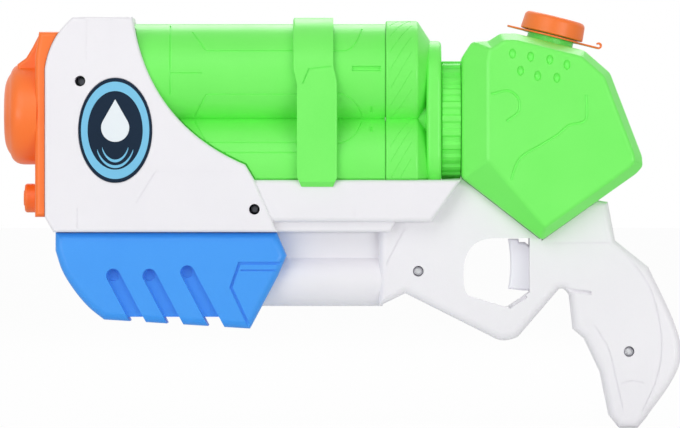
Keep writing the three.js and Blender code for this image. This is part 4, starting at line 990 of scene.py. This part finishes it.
def bodyScrew(x, z):
    s = screwShape
    head, height, inner = s["head"], s["height"], s["inner"]
    profile = [
        (0, head - s["edge"]), (s["edge"], head),
        *[(height - down, head - inward) for down, inward in s["dome"]],
    ]
    knob = placed(turned(profile, sides=40), Matrix.Rotation(-math.pi / 2, 4, "Z"))
    knob = placed(knob, Matrix.Translation((x, inner, z)))
    shank = rodY(x, z, inner - s["overlap"], inner + s["length"], s["shank"], 24)
    long, slim, deep = s["cross"]
    top = inner - height
    crosses = []
    for w, h in ((long, slim), (slim, long)):
        crosses.append(block((x - w, top - past, z - h), (x + w, top + deep, z + h)))
    return cut(join(knob, shank), *crosses)


for number, (x, z, half) in enumerate(screwHoles["spots"], 1):
    # Screws in the block's deep wells get the darker steel as painted shade of the wells; those in the grip's
    # shallower wells get the pale zinc.
    wellShadeFinish = "darkSteelAndWellShade" if half == blockShape["half"] else "screwZinc"
    piece(bodyScrew(x, z), f"bodyScrew{number}", "housing", wellShadeFinish, f"body_screw_{number}")

# Oval badge: dark plate, pale ring, a drop over ripples

badgeArt = dict(
    ring=(0.93, 0.75), edge=0.5, sink=0.3, lift=0.35, overlap=2, drop=(1.5, 8.4, 17), dropLift=0.15,
    ripples=((8.6, 13.4), (11.8, 16.8)), rippleDrop=4, rippleTurn=(205, 335), ripple=1.7, rippleEdge=0.2,
)


def badgeLayer(outline, side, low, high, rim=0.25):
    return extruded(outline, "y", *sideSpan(side, low, high), rim, 3)


def dropOutline(centre, radius, tip):
    x, z = centre
    lean = math.degrees(math.acos(radius / tip))
    return [(x, z + tip), *arc(centre, (radius, radius), 90 - lean, -270 + lean, 40)]


for side, word in ((-1, "Left"), (1, "Right")):
    a = badgeArt
    x, z = badge["at"]
    base = badgeLayer(ellipse(badge["at"], badge["half"]), side, badge["low"], badge["high"], a["edge"])
    piece(base, f"badge{word}", "housing", "badgeNavy", f"badge_{word.lower()}")
    low, high = badge["high"] - a["sink"], badge["high"] + a["lift"]
    outer, inner = [ellipse(badge["at"], [h * share for h in badge["half"]]) for share in a["ring"]]
    middle = badgeLayer(inner, side, low - a["overlap"], high + a["overlap"], 0)
    ring = cut(badgeLayer(outer, side, low, high), middle)
    first, last = a["rippleTurn"]
    crest = z - a["rippleDrop"]
    waves = []
    for radii in a["ripples"]:
        upper = arc((x, crest), radii, first, last, 24)
        lower = arc((x, crest - a["ripple"]), radii, last, first, 24)
        waves.append(badgeLayer(upper + lower, side, low, high, a["rippleEdge"]))
    piece(join(ring, *waves), f"badgeRing{word}", "housing", "badgeBlue")
    rise, radius, tip = a["drop"]
    drop = badgeLayer(dropOutline((x, z + rise), radius, tip), side, low, high + a["dropLift"])
    piece(drop, f"badgeDrop{word}", "housing", "badgeWhite")
print("screws and badges")

# Nozzle end

muzzle = dict(
    height=70.8, drum=30.3, front=-25.2, back=-5, mouth=11.5, mouthDepth=13, mouthLip=((0, 0.8), (0.8, 0)),
    mouthTaper=1, mouthFlare=1.2, shoulder=((13, 0), (5.2, 0.2), (3.6, -6), (0.4, -10), (0, -16)),
    lower=20.4, boss=8.7, bossFront=-13.2, bossRound=(1.8, 1.6), bossEdge=2, fit=0.3,
    spigotSpan=(-2, 4.9), spigots=((70.8, 14, 64), (20.4, 7.5, 48)),
    tipBore=5.3, sealDepth=2.4, sealSeat=6.7, lowerBore=3.7, lowerDepth=3, lowerSeat=5.7,
)
shroudShape = dict(
    half=30, rim=3, outline=[(-6, 9), (-6, 104.4), (-3.6, 119.4), (8.4, 119.4), (8.4, 9)],
    hood=[
        (-17.2, 90.8), (-17.2, 100.4), (-12, 104.2), (-8.4, 110.2), (-3.6, 119.4), (8.4, 119.4), (8.4, 90.8),
    ],
    hoodHalf=13, hoodRim=2,
)


def nozzleShroud():
    m = muzzle
    sh = shroudShape
    height, lower, face, back = m["height"], m["lower"], m["front"], m["back"]
    axis = (0, 0, height)
    bend = [(face + along, m["drum"] + out) for along, out in m["shoulder"]]
    floor = face + m["mouthDepth"]
    well = [(face + along, m["mouth"] + out) for along, out in m["mouthLip"]]
    well.append((floor, m["mouth"] - m["mouthTaper"]))
    drumSide = [(back, m["drum"]), bend[0], *pulled(*bend[:3], 8), *pulled(*bend[2:], 6)]
    drum = turned([*drumSide, *well], axis, 96)
    bossFront, (roundX, roundZ) = m["bossFront"], m["bossRound"]
    boss = turned(
        [
            (back, m["boss"]), *arc((bossFront + roundX, m["boss"] - roundZ), (roundX, roundZ), 90, 170, 5),
            (bossFront, m["boss"] - m["bossEdge"]),
        ],
        (0, 0, lower), 64,
    )
    hood = plate(sh["hood"], sh["hoodHalf"], sh["hoodRim"])
    front = join(plate(sh["outline"], sh["half"], sh["rim"]), drum, hood, boss)
    front = cut(front, plate(grown(blockShape["outline"], m["fit"]), far))
    mouth = turned([(face - past, m["mouth"] + m["mouthFlare"]), *well], axis, 72)
    spigots = [rodX(*m["spigotSpan"], *spigot) for spigot in m["spigots"]]
    return cut(
        join(front, *spigots), mouth, rodX(face, far, height, m["tipBore"], 48),
        rodX(0, m["sealDepth"], height, m["sealSeat"], 48),
        rodX(bossFront - past, far, lower, m["lowerBore"], 40),
        rodX(bossFront - past, bossFront + m["lowerDepth"], lower, m["lowerSeat"], 48),
    )


built(nozzleShroud, "nozzleOrange", "nozzle_shroud")

# Nozzles, with profiles measured from the face that seats in the shroud

nozzles = {
    "nozzleTip": dict(
        node="nozzle_tip", seat=-12.5, height=muzzle["height"], sides=64,
        profile=[
            (7, 1.5), (7, 5), (0, 5), (0, 9.5), (-1.6, 9.3), (-2, 8.9),
            *pulled((-2, 8.9), (-3, 5.4), (-8.2, 4.2), 8), (-9, 3.4), (-9, 1.9), (-8.4, 1.5),
        ],
    ),
    "lowerNozzle": dict(
        node="lower_nozzle", seat=-10.5, height=muzzle["lower"], sides=48,
        profile=[
            (5, 1.1), (5, 3.4), (0, 3.4), (0, 5.4), (-2.6, 5.1), (-3.3, 4.4), (-3.3, 1.6), (-2.8, 1.1),
        ],
    ),
}
for name, n in nozzles.items():
    nozzle = turned(n["profile"], (n["seat"], 0, n["height"]), n["sides"], ring=True)
    piece(nozzle, name, "housing", "nozzleOrange", n["node"])
print("nozzle end")

# Pump grip

pump = dict(
    half=27, rim=5, wall=2.4, axis=-28.8,
    outline=[
        (6, -0.15), (138, -0.15), (144, -14), (138.6, -26.4), (122, -57.6), (35, -52.2),
        *through([(35, -52.2), (26, -45), (17.4, -35), (10, -23), (6, -11)], 5)[1:],
    ],
    grooves=[(40.6, -26), (62.2, -26), (84.8, -24)], lean=0.53, grooveHalf=4.2, grooveDepth=6,
    grooveLength=60, grooveRim=0.4, notch=-50.6, dent=1.3, dentRadius=3.2,
    step=[(147, -18.6), (115.8, -18.6), (110.8, -33), (123.5, -60)], stepLine=(1.8, 1.7),
    mark=[(147, -22.8), (116.6, -22.8)], markLine=(1.0, 1.2), ribs=(96, 130), socket=(6, 34), socketRadius=8,
    slotFront=36.2, slotRadius=16.1, slotHalf=8.5, rodHole=(19.7, 35), rodRadius=4.3,
    pinAt=27, pinHole=(-10, 10, 1.8),
)


def grooveOutline(x, top, grow):
    p = pump
    angle = math.atan(p["lean"])
    half = p["grooveHalf"] + grow
    side = (half * math.cos(angle), half * math.sin(angle))
    foot = (p["grooveLength"] * p["lean"], -p["grooveLength"])
    return [
        (x + side[0] + foot[0], top + side[1] + foot[1]),
        *arc((x, top), (half, half), math.degrees(angle), math.degrees(angle) + 180, 20),
        (x - side[0] + foot[0], top - side[1] + foot[1]),
    ]


def pumpGrip():
    p = pump
    wall, half, axis, rim, notch = p["wall"], p["half"], p["axis"], p["rim"], p["notch"]
    skin = plate(p["outline"], half, rim, 7)
    hollow = plate(grown(p["outline"], -wall), half - wall, rim - wall)
    floor = half - p["grooveDepth"]
    backing, channels = [], []
    for x, top in p["grooves"]:
        groove, walled = grooveOutline(x, top, 0), grooveOutline(x, top, wall)
        dent = ellipse((x, top), (p["dentRadius"],) * 2, 32)
        middle = plate(grooveOutline(x, top, wall + past), floor - wall)
        backing.append(shared(cut(plate(walled, half), middle), copied(skin)))
        backing.append(shared(plate(walled, far), below(notch + wall), copied(skin)))
        for side in (-1, 1):
            for outline, depth in ((groove, floor), (dent, floor - p["dent"])):
                span = sideSpan(side, depth, half + 2 * clear)
                channels.append(extruded(outline, "y", *span, p["grooveRim"], 2))
        channels.append(shared(plate(groove, far), below(notch)))
    ribs = []
    for x in p["ribs"]:
        rib = plate(grown(p["outline"], -past), half - past, rim - past)
        ribs.append(shared(rib, block((x, -far, -far), (x + wall, far, far))))
    socket = shared(rodX(*p["socket"], axis, p["socketRadius"], 40), copied(skin))
    slotFront, slotHalf = p["slotFront"], p["slotHalf"]
    return cut(
        join(cut(skin, hollow), *backing, *ribs, socket), *channels,
        *sideLine(p["step"], *p["stepLine"], half), *sideLine(p["mark"], *p["markLine"], half),
        rodX(slotFront, far, axis, p["slotRadius"], 72),
        block((slotFront, -slotHalf, axis), (far, slotHalf, past)),
        rodX(*p["rodHole"], axis, p["rodRadius"], 40), rodY(p["pinAt"], axis, *p["pinHole"], 24),
    )


halves(pumpGrip(), walls["parting"], "pumpGrip", "pump", "pumpBlue", "pump_grip")
print("pump grip")

# Trigger, spring and hoses

triggerShape = dict(
    half=6, rim=1.6,
    outline=[
        (276.6, -4.1), (282.8, -4.1), (283, -6.1), (286.6, -6.1), (290.4, -9.1), (294.9, -9.1), (294.9, -35),
        (285.2, -35), (276.6, -34),
        *pulled((276.6, -34), (279.6, -19), (276.6, -4.1), 16)[:-1],
    ],
    flange=((291.9, -8, -32.5), (295.4, 8, -11.2)), socket=(291.4, 297, -21, 2.3),
)


def fingerTrigger():
    t = triggerShape
    blade = plate(t["outline"], t["half"], t["rim"])
    return cut(join(blade, block(*t["flange"])), rodX(*t["socket"], 32))


built(fingerTrigger, "triggerGrey", "trigger", "trigger")

spring = dict(start=315.3, length=17.6, turns=6, turnSpots=32, radius=3.9, wire=0.7, axis=-21, travel=6)
coilSpots = spring["turns"] * spring["turnSpots"]
coil = []
for i in range(coilSpots + 1):
    angle = 2 * math.pi * i / spring["turnSpots"]
    x = spring["start"] + spring["length"] * i / coilSpots
    z = spring["axis"] + spring["radius"] * math.sin(angle)
    coil.append((x, spring["radius"] * math.cos(angle), z))
coil = swept(coil, spring["wire"], 12)
triggerSpring = piece(coil, "triggerSpring", "housing", "darkSteelAndWellShade", "trigger_spring")
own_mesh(triggerSpring)

hose = dict(
    radius=2.8, bore=2.04,
    route=[
        (301.5, -11.5, -22), (300.3, -11.5, -22), (299.1, -11.5, -22), (296.8, -11.5, -30),
        (294.6, -9.5, -39), (288.6, -7, -46.5), (283.4, -4, -51), (272.4, 0, -55.15), (252.4, 0, -47.5),
        (234.4, 0, -39), (222.4, 0, -32.7), (214.5, 0, -29), (208.5, -1, -21), (207.5, -4, -10),
        (207, -8, 0), (202.5, -12, 6), (192.5, -18, 6), (176.5, -20, 6), (130.35, -20, 6), (55.2, -20, 6),
        (42.2, -13, 7.4), (32, -3, 13.8), (26, 0, 14.4), (22, 0, 14.4), (17, 0, 14.4),
    ],
    chargeAt=185.5, charge=(-15, 19.4),
)
route = through(hose["route"])
before = 2 * Vector(route[0]) - Vector(route[1])
behind = 2 * Vector(route[-1]) - Vector(route[-2])
longer = [tuple(before), *route, tuple(behind)]
nozzleHose = cut(swept(route, hose["radius"], 20), swept(longer, hose["bore"], 20))
piece(nozzleHose, "nozzleHose", "housing", "hoseClear", "nozzle_hose")
low, high = hose["charge"]
chargeBore = rodZ(hose["chargeAt"], low - past, high + past, hose["bore"], 32)
chargeHose = cut(rodZ(hose["chargeAt"], low, high, hose["radius"], 32), chargeBore)
piece(chargeHose, "chargeHose", "housing", "hoseClear", "charge_hose")
print("trigger, spring and hoses")

# Inner works stay as the frame has them, with soft edges

softEdge = dict(width=0.00015, segments=2, angle=40, weld=1e-6)
innerParts = {
    "innerNatural": [
        "nozzle_manifold", "pump_rod", "pump_piston", "pump_cylinder", "cylinder_gland", "cylinder_head",
        "release_valve", "release_plunger", "valve_plug",
    ],
    "sealRubber": [
        "nozzle_oring", "link_oring", "cap_gasket", "piston_oring", "check_valve", "plunger_oring",
    ],
    "darkSteelAndWellShade": ["rod_pin"],
}
for finish, names in innerParts.items():
    for name in names:
        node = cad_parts[name]
        node.data.materials.clear()
        node.data.materials.append(finishes[finish][0])
        weld = node.modifiers.new("weld", "WELD")
        weld.merge_threshold = softEdge["weld"]
        soft = node.modifiers.new("softEdges", "BEVEL")
        soft.width = softEdge["width"]
        soft.segments = softEdge["segments"]
        soft.limit_method = "ANGLE"
        soft.angle_limit = math.radians(softEdge["angle"])
print("inner works")

# Studio

studio = dict(
    centre=(-0.1716, 0, 0.0756), distance=4.2, seenWidth=0.408, sensor=36, reach=100, ambient=0.49,
    lamps=[  # place, width and height, power
        ((-1.2, -2.4, 1.7), (1.8, 1.8), 19),
        ((1.4, -2.3, 0.14), (1.6, 0.3), 15),
        ((-1.7, -2.3, 0.14), (1.6, 0.3), 11),
        ((0.2, 2.0, 2.2), (1.6, 1.6), 26),
    ],
    white=(1, 1, 1, 1), floorSize=60, floorGap=0.0004, floorGlow=0.96,
    floorTones=((0.9, 0.9, 0.9, 1), (0.93, 0.93, 0.93, 1)),
)
camera = linked("camera", bpy.data.cameras.new("camera"))
camera.data.sensor_width = studio["sensor"]
camera.data.lens = studio["sensor"] * studio["distance"] / studio["seenWidth"]
camera.data.clip_end = studio["reach"]
camera.location = Vector(studio["centre"]) + Vector((0, -studio["distance"], 0))
camera.rotation_euler = (math.pi / 2, 0, 0)
scene.camera = camera

for number, (spot, size, power) in enumerate(studio["lamps"], 1):
    light = bpy.data.lights.new(f"lamp{number}", "AREA")
    light.shape = "RECTANGLE"
    light.size, light.size_y = size
    light.energy = power
    lamp = linked(f"lamp{number}", light)
    lamp.location = spot
    lamp.rotation_euler = (Vector(studio["centre"]) - Vector(spot)).to_track_quat("-Z", "Y").to_euler()

# The backdrop is white to the eye and in reflections, and dimmer as a light
world = bpy.data.worlds.new("studio")
scene.world = world
world.use_nodes = True
sky = Tree(world.node_tree)
seen = sky.node("LightPath", output="Is Camera Ray")
for kind in ("Glossy", "Transmission"):
    seen = seen.maths("MAXIMUM", seen, sky.node("LightPath", output=f"Is {kind} Ray"))
glow = sky.node("Background", {"Color": studio["white"], "Strength": studio["ambient"]})
backdrop = sky.node("Background", {"Color": studio["white"]})
blend = sky.node("MixShader", {0: seen, 1: glow, 2: backdrop})
sky.node("OutputWorld", {"Surface": blend})

bm = bmesh.new()
bmesh.ops.create_grid(bm, x_segments=4, y_segments=4, size=studio["floorSize"])
bmesh.ops.translate(bm, verts=bm.verts, vec=(0, 0, cadBox[0].z - studio["floorGap"]))
floor = meshed(bm, "floor")
paint = Paint("paleFloor")
tones = paint.mixed(paint.noise(scale=3, detail=2), *studio["floorTones"])
matt = paint.node("BsdfDiffuse", {"Color": tones})
white = paint.node("Emission", {"Color": studio["white"], "Strength": 1.0})
ray = paint.node("LightPath", output="Is Camera Ray")
mixed = paint.node("MixShader", {0: ray * studio["floorGlow"], 1: matt, 2: white})
paint.node("OutputMaterial", {"Surface": mixed})
floor.data.materials.append(paint.material)
scene.view_settings.view_transform = "Standard"
print("studio")
